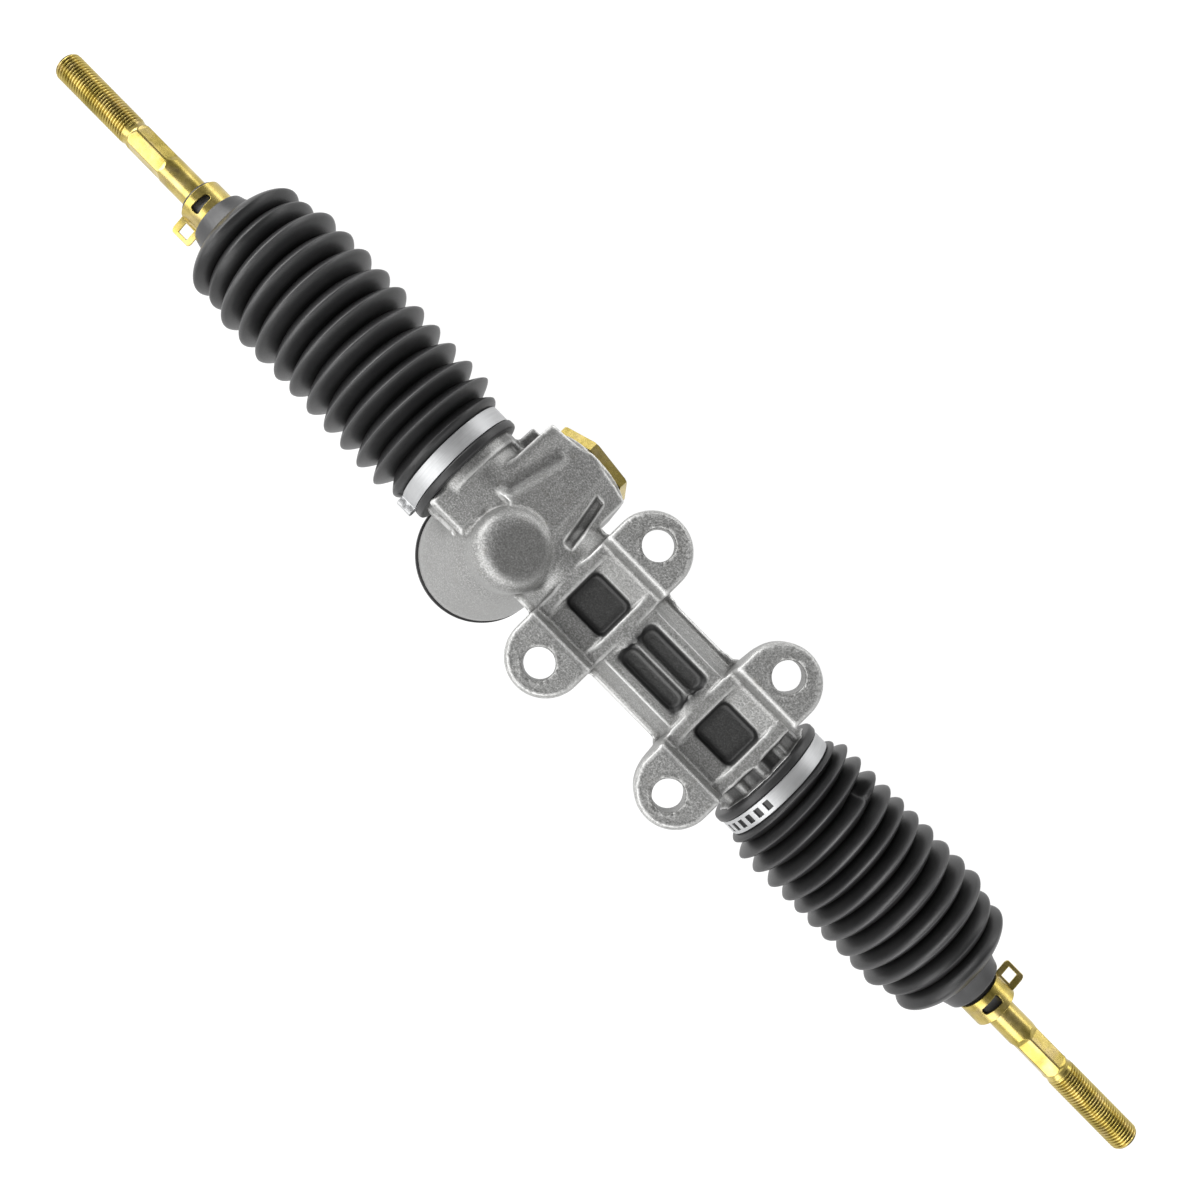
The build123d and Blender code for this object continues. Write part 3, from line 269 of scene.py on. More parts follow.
def seal_rubber():
    """Matt black seal rubber."""
    made = Finish("seal_rubber")
    skin = made.spots(0.4, 3.0, 0.6)
    bloom = made.spots(6.0, 4.0, 0.6)
    made.colour(made.ramp(bloom, (0.35, (0.016, 0.016, 0.017)), (0.7, (0.034, 0.034, 0.034))))
    made.roughness(skin, 0.45, 0.65)
    made.bump((skin, 0.03, 0.4))
    return made.material


def zinc_yellow():
    """Yellow passivated zinc: olive and gold drifts with a faint pink bloom, and painted shade in
    the roots of threads.
    """
    made = Finish("zinc_yellow_steel")
    drift = made.spots(11.0, 3.0, 0.55)
    bloom = made.spots(7.0, 2.0, 0.5, shift=5.0)
    pits = made.spots(0.5, 3.0, 0.65, shift=1.0)
    base = made.ramp(
        drift,
        (0.28, (0.27, 0.215, 0.045)),
        (0.45, (0.44, 0.345, 0.085)),
        (0.60, (0.58, 0.46, 0.15)),
        (0.74, (0.38, 0.31, 0.08)),
    )
    base = made.tint(base, (0.52, 0.41, 0.29), 0.35, bloom, 0.52, 0.72)
    base = made.tint(base, (0.24, 0.19, 0.08), 0.30, pits, 0.66, 0.84)
    # painted shade in the thread's roots
    base = made.mix(made.attribute("painted_thread_shade"), base, (0.20, 0.145, 0.03))
    made.colour(base)
    made.constant(Metallic=0.92)
    made.roughness(made.spots(1.6, 4.0, 0.6, shift=8.0), 0.22, 0.34)
    made.bump((made.spots(3.0, 3.0, 0.5, shift=6.0), 0.08, 0.20), (pits, 0.015, 0.15))
    return made.material


def band_steel():
    """Bright rolled strip, brushed along its length."""
    made = Finish("bright_band_steel")
    lines = made.spots(0.35, 4.0, 0.7, stretch=(1.0, 0.02, 1.0), space="UV")
    broad = made.spots(7.0, 3.0, 0.6)
    base = made.ramp(lines, (0.25, (0.40, 0.405, 0.41)), (0.75, (0.54, 0.545, 0.55)))
    made.colour(made.tint(base, (0.34, 0.34, 0.345), 0.35, broad, 0.50, 0.75))
    made.constant(Metallic=0.7)
    made.roughness(lines, 0.42, 0.56, NOISE_WIDE)
    made.bump((lines, 0.02, 0.35), (broad, 0.05, 0.2))
    return made.material


def turned_steel(name, dark, light, smoothest, roughest):
    """Machined steel with turning marks and a film of oil."""
    made = Finish(name)
    marks = made.spots(0.3, 3.0, 0.6, stretch=(1.0, 0.25, 0.25))
    film = made.spots(8.0, 4.0, 0.6, shift=2.0)
    made.colour(made.ramp(film, (0.3, dark), (0.7, light)))
    made.constant(Metallic=1.0)
    made.roughness(marks, smoothest, roughest, NOISE_WIDE)
    made.bump((marks, 0.015, 0.4), (film, 0.02, 0.15))
    return made.material


def bush_plastic():
    """Moulded acetal."""
    made = Finish("bush_plastic")
    cloud = made.spots(5.0, 3.0, 0.5)
    made.colour(made.ramp(cloud, (0.3, (0.70, 0.68, 0.60)), (0.7, (0.80, 0.78, 0.71))))
    made.roughness(made.spots(0.6), 0.38, 0.50)
    made.bump((made.spots(0.6, shift=3.0), 0.02, 0.3))
    return made.material


MATERIALS = {
    "cast_aluminium": cast_aluminium(),
    "bellows_rubber": bellows_rubber(),
    "seal_rubber": seal_rubber(),
    "zinc_yellow_steel": zinc_yellow(),
    "bright_band_steel": band_steel(),
}
for slot, look in (
    ("machined_steel", ((0.36, 0.36, 0.37), (0.52, 0.52, 0.53), 0.25, 0.40)),
    ("bearing_steel", ((0.58, 0.59, 0.60), (0.70, 0.71, 0.72), 0.10, 0.25)),
    ("dark_spring_steel", ((0.07, 0.07, 0.075), (0.14, 0.14, 0.145), 0.35, 0.50)),
):
    MATERIALS[slot] = turned_steel(slot, *look)
MATERIALS["bush_plastic"] = bush_plastic()

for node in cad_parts.values():  # each CAD node gets the material of its own slot
    slot = node.data.materials[0].name.split(".")[0]
    node.data.materials.clear()
    node.data.materials.append(MATERIALS[slot])


# Meshes


def piece(name, points, faces, slot, marks=None):
    """A new piece from points in millimetres round the rack axis."""
    mesh = bpy.data.meshes.new(name)
    mesh.from_pydata(place(points).tolist(), [], faces)
    mesh.update()
    mesh.materials.append(MATERIALS[slot])
    mesh.shade_smooth()
    for mark, values in (marks or {}).items():
        layer = mesh.attributes.new(mark, "FLOAT", "POINT")
        layer.data.foreach_set("value", np.asarray(values, np.float32))
    made = bpy.data.objects.new(name, mesh)
    scene.collection.objects.link(made)
    return made


def facing_out(points, faces):
    """True where the faces of a closed mesh point outward."""
    p = np.asarray(points, float)
    f = np.asarray(faces, int)
    volume = 0.0
    for a, b, c in ((0, 1, 2), (0, 2, 3)):
        volume += np.einsum("ij,ij->i", p[f[:, a]], np.cross(p[f[:, b]], p[f[:, c]])).sum()
    return volume > 0


def wrapped(rows, columns, close_rows=True):
    """Faces of a grid that closes on itself round its columns, and round its rows too."""
    faces = []
    last = rows if close_rows else rows - 1
    for i in range(last):
        for j in range(columns):
            a, b = i * columns, ((i + 1) % rows) * columns
            k = (j + 1) % columns
            faces.append((a + j, a + k, b + k, b + j))
    return faces


def closed_loop(name, grid, slot, marks=None):
    """A piece from a grid of rings whose rings and rows both close."""
    rows, columns = grid.shape[:2]
    points = grid.reshape(-1, 3)
    faces = wrapped(rows, columns)
    if not facing_out(points, faces):
        faces = [tuple(reversed(face)) for face in faces]
    return piece(name, points, faces, slot, marks)


def sharpen(obj, angle):
    """Marks edges sharper than an angle, in degrees, as sharp."""
    obj.data.set_sharp_from_angle(angle=radians(angle))


def bevel(obj, width, segments=2, angle=35.0):
    """Rounds the sharp edges of a piece by a width in millimetres."""
    modifier = obj.modifiers.new("rounding", "BEVEL")
    modifier.width = width * MM
    modifier.segments = segments
    modifier.limit_method = "ANGLE"
    modifier.angle_limit = radians(angle)
    modifier.harden_normals = True


def make_outward(obj):
    """Turns all faces of a closed piece outward."""
    work = bmesh.new()
    work.from_mesh(obj.data)
    bmesh.ops.recalc_face_normals(work, faces=work.faces)
    work.to_mesh(obj.data)
    work.free()


def turned(points, matrix):
    """Points moved by a matrix."""
    matrix = np.array(matrix)
    return np.asarray(points, float) @ matrix[:3, :3].T + matrix[:3, 3]


# Housing skin

VOXEL = 0.5
SPARE_VOXELS = 3
FILLET = 1.2  # inner corners of the casting
ROUND = 0.7  # outer corners
HOLLOW_ROUNDS, EDGE_ROUNDS = 3, 2  # how often points and marks are smoothed to find edges
# how strongly convex edges get painted highlight and concave creases get painted shade
PAINTED_EDGE_GAIN = 7.5
BOLT_X, BOLT_Y = 34.0, 31.0
BOLT_RIM_R = (7.2, 8.4)  # the edge mark's painted highlight and shade are left off within this soft step
EAR_BACK_Z = 10  # nor is that held back below this height

# Pockets of the casting and the painted shade in its hollows
POCKETS = [(-34.0, 10.2, 9.2), (34.0, 10.2, 9.2), (0.0, 16.0, 10.0)]  # middle x, half x, half y
POCKET_CORNER = 2.6
POCKET_LOW_Z = 11.0
POCKET_WALL, POCKET_FLOOR = (1.0, -1.2), (-1.2, -4.5)  # as distances outside the pocket
POCKET_FLOOR_LIGHT = 0.14
RIDGE_Y = (1.35, 0.6)  # the ridge between the two slots of the beam
RIDGE_LIGHT = 0.30
COLLAR_X = ((49.8, 50.4), (56.4, 56.0))
COLLAR_LOW_Z = 5.0
COLLAR_DEEP_R, COLLAR_TOP_Y = (20.4, 19.7), (6.0, 4.0)
COLLAR_SHADE = (0.30, 0.45, 0.2)  # everywhere, between the nubs and at the top
LUG_X, LUG_Y = (-96.0, -97.0), (16.5, 18.0)
LUG_SHADE, POST_SHADE, TOWER_SLOT_SHADE = 0.4, 0.40, 0.55

# Sloping panels beside the saddle pockets
SADDLE_X = (-34.0, 34.0)
SADDLE_TOP = 20.5
PANEL_HALF_X = 10.8
PANEL_Y = (9.3, 19.1)
PANEL_Z = (18.5, 20.1)  # at the pocket and at the ear
PANEL_FOOT = 5.0

# The tower's front: a groove beside its left post and a slot beside its right one
TOWER_Y, TOWER_Z = (3.0, 7.0), (8.0, 11.0)
POST_X, POST_FROM_Y, POST_SLOPE = -88.2, 6.0, 0.19
POST_WIDTH = 2.6
POST_END_Y = (33.0, 28.0)
POST_DEPTH = 1.7
TOWER_SLOT_X, TOWER_SLOT_FROM_Y, TOWER_SLOT_SLOPE = -59.0, 14.0, -0.20
TOWER_SLOT_HALF_X = (2.4, 1.2)
TOWER_SLOT_Y = ((6.0, 9.0), (28.8, 27.6))
TOWER_SLOT_DEPTH = 2.0

# The trench between the right saddle and the bellows, and the rib that no nub may top
TRENCH_X = ((49.3, 50.3), (56.0, 55.5))
TRENCH_FLOOR_R = 19.5
TRENCH_DEPTH = 2.0
RIB_X, RIB_HALF_Y = (44.0, 49.9), 17.6

# The pinion's place, with its bell, which is painted lighter, and the disc of its blind boss, which
# is painted dark
MESH_X = -74.6  # where the pinion axis passes the rack axis
PINION_DROP = -13.0
PINION_ROLL = radians(-14.0)
PINION_LEAN = radians(12.5)
PINION_PLACE = (
    Matrix.Translation((MESH_X, 0, 0)) @ Matrix.Rotation(PINION_ROLL, 4, "X")
    @ Matrix.Translation((0, PINION_DROP, 0)) @ Matrix.Rotation(PINION_LEAN, 4, "Y")
)
BELL_R, BELL_Z = ((15.5, 19.5), (30.0, 28.5)), (5.0, -5.0)
DISC_R, DISC_Z = (12.2, 9.6), (21.5, 24.0)
DISC_SHIFT = 2.4  # the disc's painted shade lies off the pinion axis


def offset(points, faces, distance):
    """The surface at some distance outside a closed mesh of triangles or quads."""
    faces = np.asarray(faces, np.uint32)
    field = openvdb.FloatGrid.createLevelSetFromPolygons(
        np.asarray(points, np.float32),
        transform=openvdb.createLinearTransform(VOXEL),
        halfWidth=abs(distance) / VOXEL + SPARE_VOXELS,
        **{"triangles" if faces.shape[1] == 3 else "quads": faces},
    )
    return field.convertToQuads(distance)


def node_mesh(name):
    """A CAD node's points in millimetres round the rack axis, with its triangles."""
    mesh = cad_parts[name].data
    points = np.zeros(len(mesh.vertices) * 3)
    mesh.vertices.foreach_get("co", points)
    points = points.reshape(-1, 3) / MM
    points[:, 2] -= AXIS_Z
    mesh.calc_loop_triangles()
    triangles = np.zeros(len(mesh.loop_triangles) * 3, np.int32)
    mesh.loop_triangles.foreach_get("vertices", triangles)
    return points, triangles.reshape(-1, 3)


def spread(values, pairs, rounds):
    """Values smoothed over the mesh's edges."""
    count = np.bincount(pairs.ravel(), minlength=len(values)).astype(float)
    for _ in range(rounds):
        total = np.zeros_like(values)
        np.add.at(total, pairs[:, 0], values[pairs[:, 1]])
        np.add.at(total, pairs[:, 1], values[pairs[:, 0]])
        mean = total / (count[:, None] if values.ndim == 2 else count)
        values = 0.5 * values + 0.5 * mean
    return values


def quad_edges(faces):
    pairs = np.concatenate([faces[:, [a, (a + 1) % 4]] for a in range(4)])
    return np.unique(np.sort(pairs, axis=1), axis=0)


def quad_normals(points, faces):
    normals = np.zeros_like(points)
    a, b, c, d = (points[faces[:, corner]] for corner in range(4))
    cross = np.cross(c - a, d - b)
    for corner in range(4):
        np.add.at(normals, faces[:, corner], cross)
    return normals / np.maximum(np.linalg.norm(normals, axis=1), 1e-9)[:, None]


def brick(x, y_near, y_far, z_near, z_far, foot):
    """A block with a top that slopes along Y, as points and triangles."""
    ends = ((y_near, z_near), (y_far, z_far))
    points = [(x[i], y, z) for y, top in ends for z in (foot, top) for i in (0, 1)]
    sides = [(0, 1, 3, 2), (4, 6, 7, 5), (0, 4, 5, 1), (2, 3, 7, 6), (0, 2, 6, 4), (1, 5, 7, 3)]
    faces = [t for a, b, c, d in sides for t in ((a, b, c), (a, c, d))]
    if not facing_out(points, [(a, b, c, c) for a, b, c in faces]):
        faces = [t[::-1] for t in faces]
    return np.array(points), np.array(faces)


def panels():
    """Sloping panels beside the saddle pockets."""
    for x in SADDLE_X:
        for side in (-1, 1):
            span = (x - PANEL_HALF_X, x + PANEL_HALF_X)
            yield brick(span, side * PANEL_Y[0], side * PANEL_Y[1], *PANEL_Z, PANEL_FOOT)


def painted_hollow_shade(points):
    """How much painted shade each point gets from lying in a hollow, from 0 to 1."""
    x, y, z = points.T
    pockets = np.zeros(len(points))
    for middle, half_x, half_y in POCKETS:
        over_x = np.abs(x - middle) - half_x + POCKET_CORNER
        over_y = np.abs(y) - half_y + POCKET_CORNER
        outside = np.hypot(np.maximum(over_x, 0), np.maximum(over_y, 0)) - POCKET_CORNER
        outside = outside + np.minimum(np.maximum(over_x, over_y), 0)
        inside = smooth(*POCKET_WALL, outside) * (z > POCKET_LOW_Z)
        inside *= 1.0 - POCKET_FLOOR_LIGHT * smooth(*POCKET_FLOOR, outside)
        if middle == 0.0:
            inside *= 1.0 - RIDGE_LIGHT * smooth(*RIDGE_Y, np.abs(y))
        pockets = np.maximum(pockets, inside)
    everywhere, deep, top = COLLAR_SHADE
    collar = everywhere + deep * smooth(*COLLAR_DEEP_R, np.hypot(y, z))
    collar = (collar + top * smooth(*COLLAR_TOP_Y, np.abs(y))) * window(*COLLAR_X, x)
    collar *= z > COLLAR_LOW_Z
    lug = LUG_SHADE * smooth(*LUG_X, x) * smooth(*LUG_Y, y)
    post, slot = tower_grooves(points)
    return np.maximum.reduce([pockets, collar, lug, POST_SHADE * post, TOWER_SLOT_SHADE * slot])


def tower_grooves(points):
    """Where the tower's front has its groove, and where it has its slot."""
    x, y, z = points.T
    front = smooth(*TOWER_Z, z) * smooth(*TOWER_Y, y)
    post = hill(x, POST_X + POST_SLOPE * (y - POST_FROM_Y), POST_WIDTH) * smooth(*POST_END_Y, y)
    middle = TOWER_SLOT_X + TOWER_SLOT_SLOPE * (y - TOWER_SLOT_FROM_Y)
    slot = smooth(*TOWER_SLOT_HALF_X, np.abs(x - middle)) * window(*TOWER_SLOT_Y, y)
    return front * post, front * slot


def relief(points):
    """The casting with the tower's groove and slot and the trench sunk in."""
    post, slot = tower_grooves(points)
    moved = points.copy()
    moved[:, 2] -= POST_DEPTH * post + TOWER_SLOT_DEPTH * slot
    x, y, z = points.T
    radius = np.hypot(y, z)
    trench = window(*TRENCH_X, x) * (radius > TRENCH_FLOOR_R)
    moved[:, 1:] *= (1 - TRENCH_DEPTH * trench / np.maximum(radius, 1.0))[:, None]
    on_rib = (x > RIB_X[0]) & (x < RIB_X[1]) & (np.abs(y) < RIB_HALF_Y)
    moved[on_rib, 2] = np.minimum(moved[on_rib, 2], SADDLE_TOP)
    return moved


def boss_marks(points):
    """Where the bell gets painted light, and where the disc of the blind boss gets painted shade.
    """
    x, y, z = turned(points, PINION_PLACE.inverted()).T
    bell = window(*BELL_R, np.hypot(x, y)) * smooth(*BELL_Z, z)
    painted_disc_shade = smooth(*DISC_R, np.hypot(x - DISC_SHIFT, y)) * smooth(*DISC_Z, z)
    return bell, painted_disc_shade


def housing_skin():
    """The casting with the round corners that a mould leaves, over the CAD housing."""
    points, faces = node_mesh("rack_housing")
    for more_points, more_faces in panels():
        faces = np.concatenate([faces, more_faces + len(points)])
        points = np.concatenate([points, more_points])
    for distance in (FILLET, -FILLET - ROUND, ROUND):
        points, faces = offset(points, faces, distance)
    faces = np.asarray(faces, np.int64)
    points = np.asarray(points, float)
    if not facing_out(points, faces):
        faces = faces[:, ::-1]
    points = relief(points)
    pairs = quad_edges(faces)
    smoothed = spread(points, pairs, HOLLOW_ROUNDS)
    hollow = np.einsum("ij,ij->i", smoothed - points, quad_normals(points, faces))
    # the edge mark: up on convex edges for painted highlight (partly wear), down in concave creases
    # for painted shade
    edge = spread(-hollow * PAINTED_EDGE_GAIN, pairs, EDGE_ROUNDS)
    from_bolt = np.hypot(np.abs(points[:, 0]) - BOLT_X, np.abs(points[:, 1]) - BOLT_Y)
    edge *= smooth(*BOLT_RIM_R, from_bolt) + (points[:, 2] < EAR_BACK_Z)
    bell, painted_disc_shade = boss_marks(points)
    marks = {"edge": np.clip(edge, -1, 1), "painted_hollow_shade": painted_hollow_shade(points), "bell": bell, "painted_disc_shade": painted_disc_shade}
    made = piece("cast_housing", points, faces.tolist(), "cast_aluminium", marks)
    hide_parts("rack_housing")
    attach(made, "housing")


housing_skin()


# Bellows

SEAT_R = 21.5
SEAT_GAP = 0.02
LIP_R = 25.75
LIP_LENGTH = 3.4
LIP_EDGE = [(0.0, 0.9), (0.25, 0.35), (0.9, 0.0), (2.7, 0.0), (3.15, 0.2), (LIP_LENGTH, 0.8)]
CUFF_R = 24.2
CUFF_FOOT_R = 24.3  # where the first fold rises from the cuff
CUFF_POWER = 2.4  # how round that rise is
CUFF_SPARE = 1.2  # how far the seat's bore reaches past the cuff
FIRST_CREST_R, CREST_R, LAST_CREST_R = 27.3, 30.05, [27.2, 27.0]
VALLEY_R = 22.4
VALLEY_RISE, WIDE_FOLD = 0.3, 8.0  # valleys of narrower folds are shallower
FOLD_POWER = (1.25, 1.70)  # how round the folds are, at the housing and at the far end
FOLD_STEPS = 12
RING_STEPS = 112
COLLAR_R = 12.3  # at its outer end
COLLAR_ROOT_R = 14.6
NECK_R = 8.4
WALL = 1.7
TAPER, TAPER_R = 6.0, (19.0, 7.6)  # the inside narrows before the collar's root
COLLAR_BORE_R, NECK_BORE_R, NECK_BORE_START = 7.25, 6.85, 0.5
UNEVEN = ((2, 0.19, 0.0, 0.10), (3, -0.31, 1.0, 0.07))  # waves round, twist, start and size
UNEVEN_R = (23.0, 28.0)
# radii of the crests' painted highlight and the valleys' painted shade, and how much paler the
# collar is
CREST_HIGHLIGHT_R, VALLEY_SHADE_R, COLLAR_PALE = (29.2, 30.0), (26.5, 22.8), 0.7
VALLEY_LOW_R, COLLAR_LOW_R = 22.0, 10.0
SEAM_SPARE = 1e-6

# The crease in the fourth right fold, with a flatter place beside it
PINCH_AT = (31.4, radians(-55.0))  # distance from the lip, and angle
PINCH_SIZE = (2.3, 0.105)
PINCH_DEPTH, PINCH_SLANT, PINCH_NARROW = 4.6, 0.45, 0.55
FLAT_DEPTH, FLAT_AT, FLAT_SIZE = 1.5, (-1.0, 1.7), (1.5, 2.2)

# Pairs of crests that have a seam between them
SEAMS = ((9, 10), (11, 12))

# Crests as distances from the lip, the collar's root and end and the neck's end, and the bow and
# the lean along the way
BELLOWS = {
    LEFT: {
        "cuff": 11.0,
        "crests": [13.8, 21.6, 30.6, 40.0, 49.1, 58.8, 68.6, 77.6, 87.9, 97.2, 107.0, 116.0, 124.0],
        "collar": (131.2, 138.5, 149.9),
        "bow": [(0, 0), (11, 0), (21, 0.7), (39, 1.1), (58, 1.9), (76, 2.3), (97, 2.3), (107, 2.1),
                (116, 1.8), (124, 1.3), (136, 0), (150, 0)],
        "lean": [(0, 0), (11, 0), (18, 0.8), (30, 1.1), (60, 1.1), (84, 0.3), (97, -0.3),
                 (112, -0.8), (124, -0.6), (135, 0), (150, 0)],
    },
    RIGHT: {
        "cuff": 10.4,
        "crests": [12.1, 17.3, 24.5, 32.6, 40.4, 47.2, 54.9, 62.5, 71.0, 79.0, 87.0, 95.2, 102.8],
        "collar": (109.8, 117.5, 128.9),
        "bow": [(0, 0), (10.4, 0), (23, 0.15), (40, 0.7), (62, 1.1), (79, 1.3), (95, 1.1),
                (114, 0), (130, 0)],
        "lean": [(0, 0), (10.4, 0), (16, 1.1), (34, 1.3), (55, 1.0), (87, 0.0), (97, -0.6),
                 (110, 0), (130, 0)],
    },
}


def flank(crest, foot, crest_r, foot_r, power, u):
    """A point on a fold's flank, from its crest at u = 0 to its foot at u = 1."""
    return crest + (foot - crest) * u, foot_r + (crest_r - foot_r) * (1 - u**power)


def fold_profile(side):
    """The outside of a bellows as (distance from the lip, radius) pairs."""
    shape = BELLOWS[side]
    crests, cuff = shape["crests"], shape["cuff"]
    root, end, neck = shape["collar"]
    radii = [FIRST_CREST_R] + [CREST_R] * (len(crests) - 3) + LAST_CREST_R
    line = [(at, LIP_R - drop) for at, drop in LIP_EDGE]
    line += [
        (LIP_LENGTH + 0.1, CUFF_R + 0.15), (LIP_LENGTH + 0.4, CUFF_R), (cuff - 0.5, CUFF_R),
        (cuff, CUFF_FOOT_R),
    ]
    for step in range(FOLD_STEPS - 1, 0, -1):
        u = step / FOLD_STEPS
        line.append(flank(crests[0], cuff, radii[0], CUFF_FOOT_R, CUFF_POWER, u))
    for i, (at, after) in enumerate(zip(crests, crests[1:])):
        line.append((at, radii[i]))
        middle = (at + after) / 2
        power = np.interp(i, (0, len(crests) - 2), FOLD_POWER)
        depth = VALLEY_R + VALLEY_RISE * max(0.0, WIDE_FOLD - (after - at))
        for step in range(1, 2 * FOLD_STEPS):
            u = step / FOLD_STEPS
            if u <= 1:
                line.append(flank(at, middle, radii[i], depth, power, u))
            else:
                line.append(flank(after, middle, radii[i + 1], depth, power, 2 - u))
    line.append((crests[-1], radii[-1]))
    for step in range(1, 2 * FOLD_STEPS + 1):
        u = step / (2 * FOLD_STEPS)
        line.append(flank(crests[-1], root, radii[-1], COLLAR_ROOT_R, FOLD_POWER[1], u))
    line += [
        (root + 0.4, COLLAR_ROOT_R - 0.2), (end - 2.5, COLLAR_R + 0.45), (end - 0.9, COLLAR_R),
        (end - 0.3, COLLAR_R - 0.25), (end, COLLAR_R - 0.9), (end, NECK_R + 0.5),
        (end + 0.4, NECK_R), (neck - 0.6, NECK_R), (neck - 0.1, NECK_R - 0.3), (neck, NECK_R - 0.8),
    ]
    return np.array(line)


def inner_line(line, shape):
    """The inside of the same bellows, a wall's thickness within."""
    root, end, _ = shape["collar"]
    along, radius = line.T
    narrowing = np.interp(along, (root - TAPER, root), TAPER_R)
    inner = np.where(along < shape["cuff"] + CUFF_SPARE, SEAT_R + SEAT_GAP, radius - WALL)
    inner = np.where(along > root - TAPER, np.minimum(inner, narrowing), inner)
    inner = np.where(along >= root, COLLAR_BORE_R, inner)
    inner = np.where(along > end - NECK_BORE_START, NECK_BORE_R, inner)
    return np.column_stack([along, inner])


def pinch(along, angles):
    """The crease that the fourth right fold has taken, as a depth."""
    across = (along - PINCH_AT[0]) / PINCH_SIZE[0]
    turn = (np.mod(angles - PINCH_AT[1] + pi, 2 * pi) - pi) / PINCH_SIZE[1]
    notch = hill(across, PINCH_SLANT * turn, 1.0) * hill(turn * PINCH_NARROW, 0.0, 1.0)
    flat = hill(across, FLAT_AT[0], FLAT_SIZE[0]) * hill(turn, FLAT_AT[1], FLAT_SIZE[1])
    return PINCH_DEPTH * notch + FLAT_DEPTH * flat


def bellows_rings(side, line):
    """Rings of points along a profile, with the bow and lean that the real bellows took."""
    shape = BELLOWS[side]
    angles = np.arange(RING_STEPS) * 2 * pi / RING_STEPS
    along, height = line[:, :1], line[:, 1:]
    bow = np.interp(along, *zip(*shape["bow"]))
    lean = np.interp(along, *zip(*shape["lean"]))
    radius = height * np.ones(RING_STEPS)
    for waves, twist, start, size in UNEVEN:
        drift = np.sin(angles * waves + along * twist + start) - 1
        radius = radius + size * drift * smooth(*UNEVEN_R, height)
    if side == RIGHT:
        radius = radius - pinch(along, angles)
    grid = np.empty((len(line), RING_STEPS, 3))
    grid[:, :, 0] = LIP_X[side] + side * (along + lean * np.sin(angles) * height / CREST_R)
    grid[:, :, 1] = bow - radius * np.sin(angles)
    grid[:, :, 2] = radius * np.cos(angles)
    return grid


def bellows(side):
    """One bellows in three pieces that meet in its valleys."""
    shape = BELLOWS[side]
    name = SIDE_NAME[side] + "_bellows"
    outer = fold_profile(side)
    inner = inner_line(outer, shape)
    seams = [(shape["crests"][a] + shape["crests"][b]) / 2 for a, b in SEAMS]
    cuts = [0.0, *seams, shape["collar"][2]]
    parts = []
    for letter, low, high in zip("abc", cuts, cuts[1:]):
        keep = (outer[:, 0] >= low - SEAM_SPARE) & (outer[:, 0] <= high + SEAM_SPARE)
        line = np.concatenate([outer[keep], inner[keep][::-1]])
        along = line[:, 0]
        height = np.concatenate([outer[keep][:, 1], np.zeros(keep.sum())])     # 0 on the inside
        # painted highlight on the crests and a paler collar, painted shade in the valleys
        crest = smooth(*CREST_HIGHLIGHT_R, height)
        crest += COLLAR_PALE * (along > shape["collar"][0]) * (height > COLLAR_LOW_R)
        valley = smooth(*VALLEY_SHADE_R, height) * (height > VALLEY_LOW_R) * (along > shape["cuff"])
        marks = {"crest": np.repeat(crest, RING_STEPS), "valley": np.repeat(valley, RING_STEPS)}
        part = closed_loop(name + "_" + letter, bellows_rings(side, line), "bellows_rubber", marks)
        sharpen(part, 60)
        parts.append(part)

    def at(distance):
        return ((LIP_X[side] + side * distance) * MM, 0.0, AXIS_Z * MM)

    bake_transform(parts[0])
    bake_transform(parts[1])
    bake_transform(parts[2])
    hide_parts(name)


for side in (LEFT, RIGHT):
    bellows(side)


# Bands and clips

BAND_THICK = 0.8
BAND_WIDTH = {LEFT: 7.0, RIGHT: 6.4}
BAND_START = LIP_LENGTH + 0.3
BAND_STEP = 2.0  # degrees between the band's points
BAND_CROWN = np.array([-0.05, 0.01, 0.01, -0.05])
BAND_FIT = 0.03
BAND_SLOTS = {LEFT: [], RIGHT: [17.6 + i * 11.23 for i in range(9)]}  # degrees
SLOT_HALF = 3.0  # half the angle that a slot takes up, in degrees
SLOT_CLEAR = 0.5  # and what is kept clear of other points beside it
SLOT_ACROSS = 3.6

EAR_ANGLE = {LEFT: 84.0, RIGHT: 150.0}
EAR_HALF = radians(6.4)
EAR_LEG = [(1.12, 0.0), (1.02, 0.35), (0.98, 1.3), (0.96, 2.4), (0.80, 3.2), (0.35, 3.42)]
EAR_OUTLINE = [  # (share of that angle, rise)
    *((-share, rise) for share, rise in EAR_LEG), (0.0, 3.3), *reversed(EAR_LEG),
]
EAR_COLUMNS = 15
EAR_INSET = 0.06
EAR_INSIDE, EAR_WALL, EAR_SUNK = 0.74, 0.75, -0.1
DIMPLE_HALF, DIMPLE_RISE, DIMPLE_DEPTH = 0.75, 1.8, 0.24
BULGE_AT, BULGE_HALF, BULGE_RISE, BULGE_HEIGHT = 1.7, 0.7, 1.7, 0.05

CLIP_R = 8.55  # inside of the small clips
CLIP_THICK = 1.0
CLIP_NEAR = {LEFT: -254.6, RIGHT: 175.8}
CLIP_WIDTH = 9.7
CLIP_WINDOW = (radians(-23.4), radians(31.4))
WINDOW_STEPS, REST_STEPS = 19, 62
WINDOW_HALF = {LEFT: (1.25, 2.0), RIGHT: (2.1, 1.3)}  # half its width, at its two ends
WINDOW_CORNER, WINDOW_END = 0.12, 0.45  # share of its length that is round, and width left there

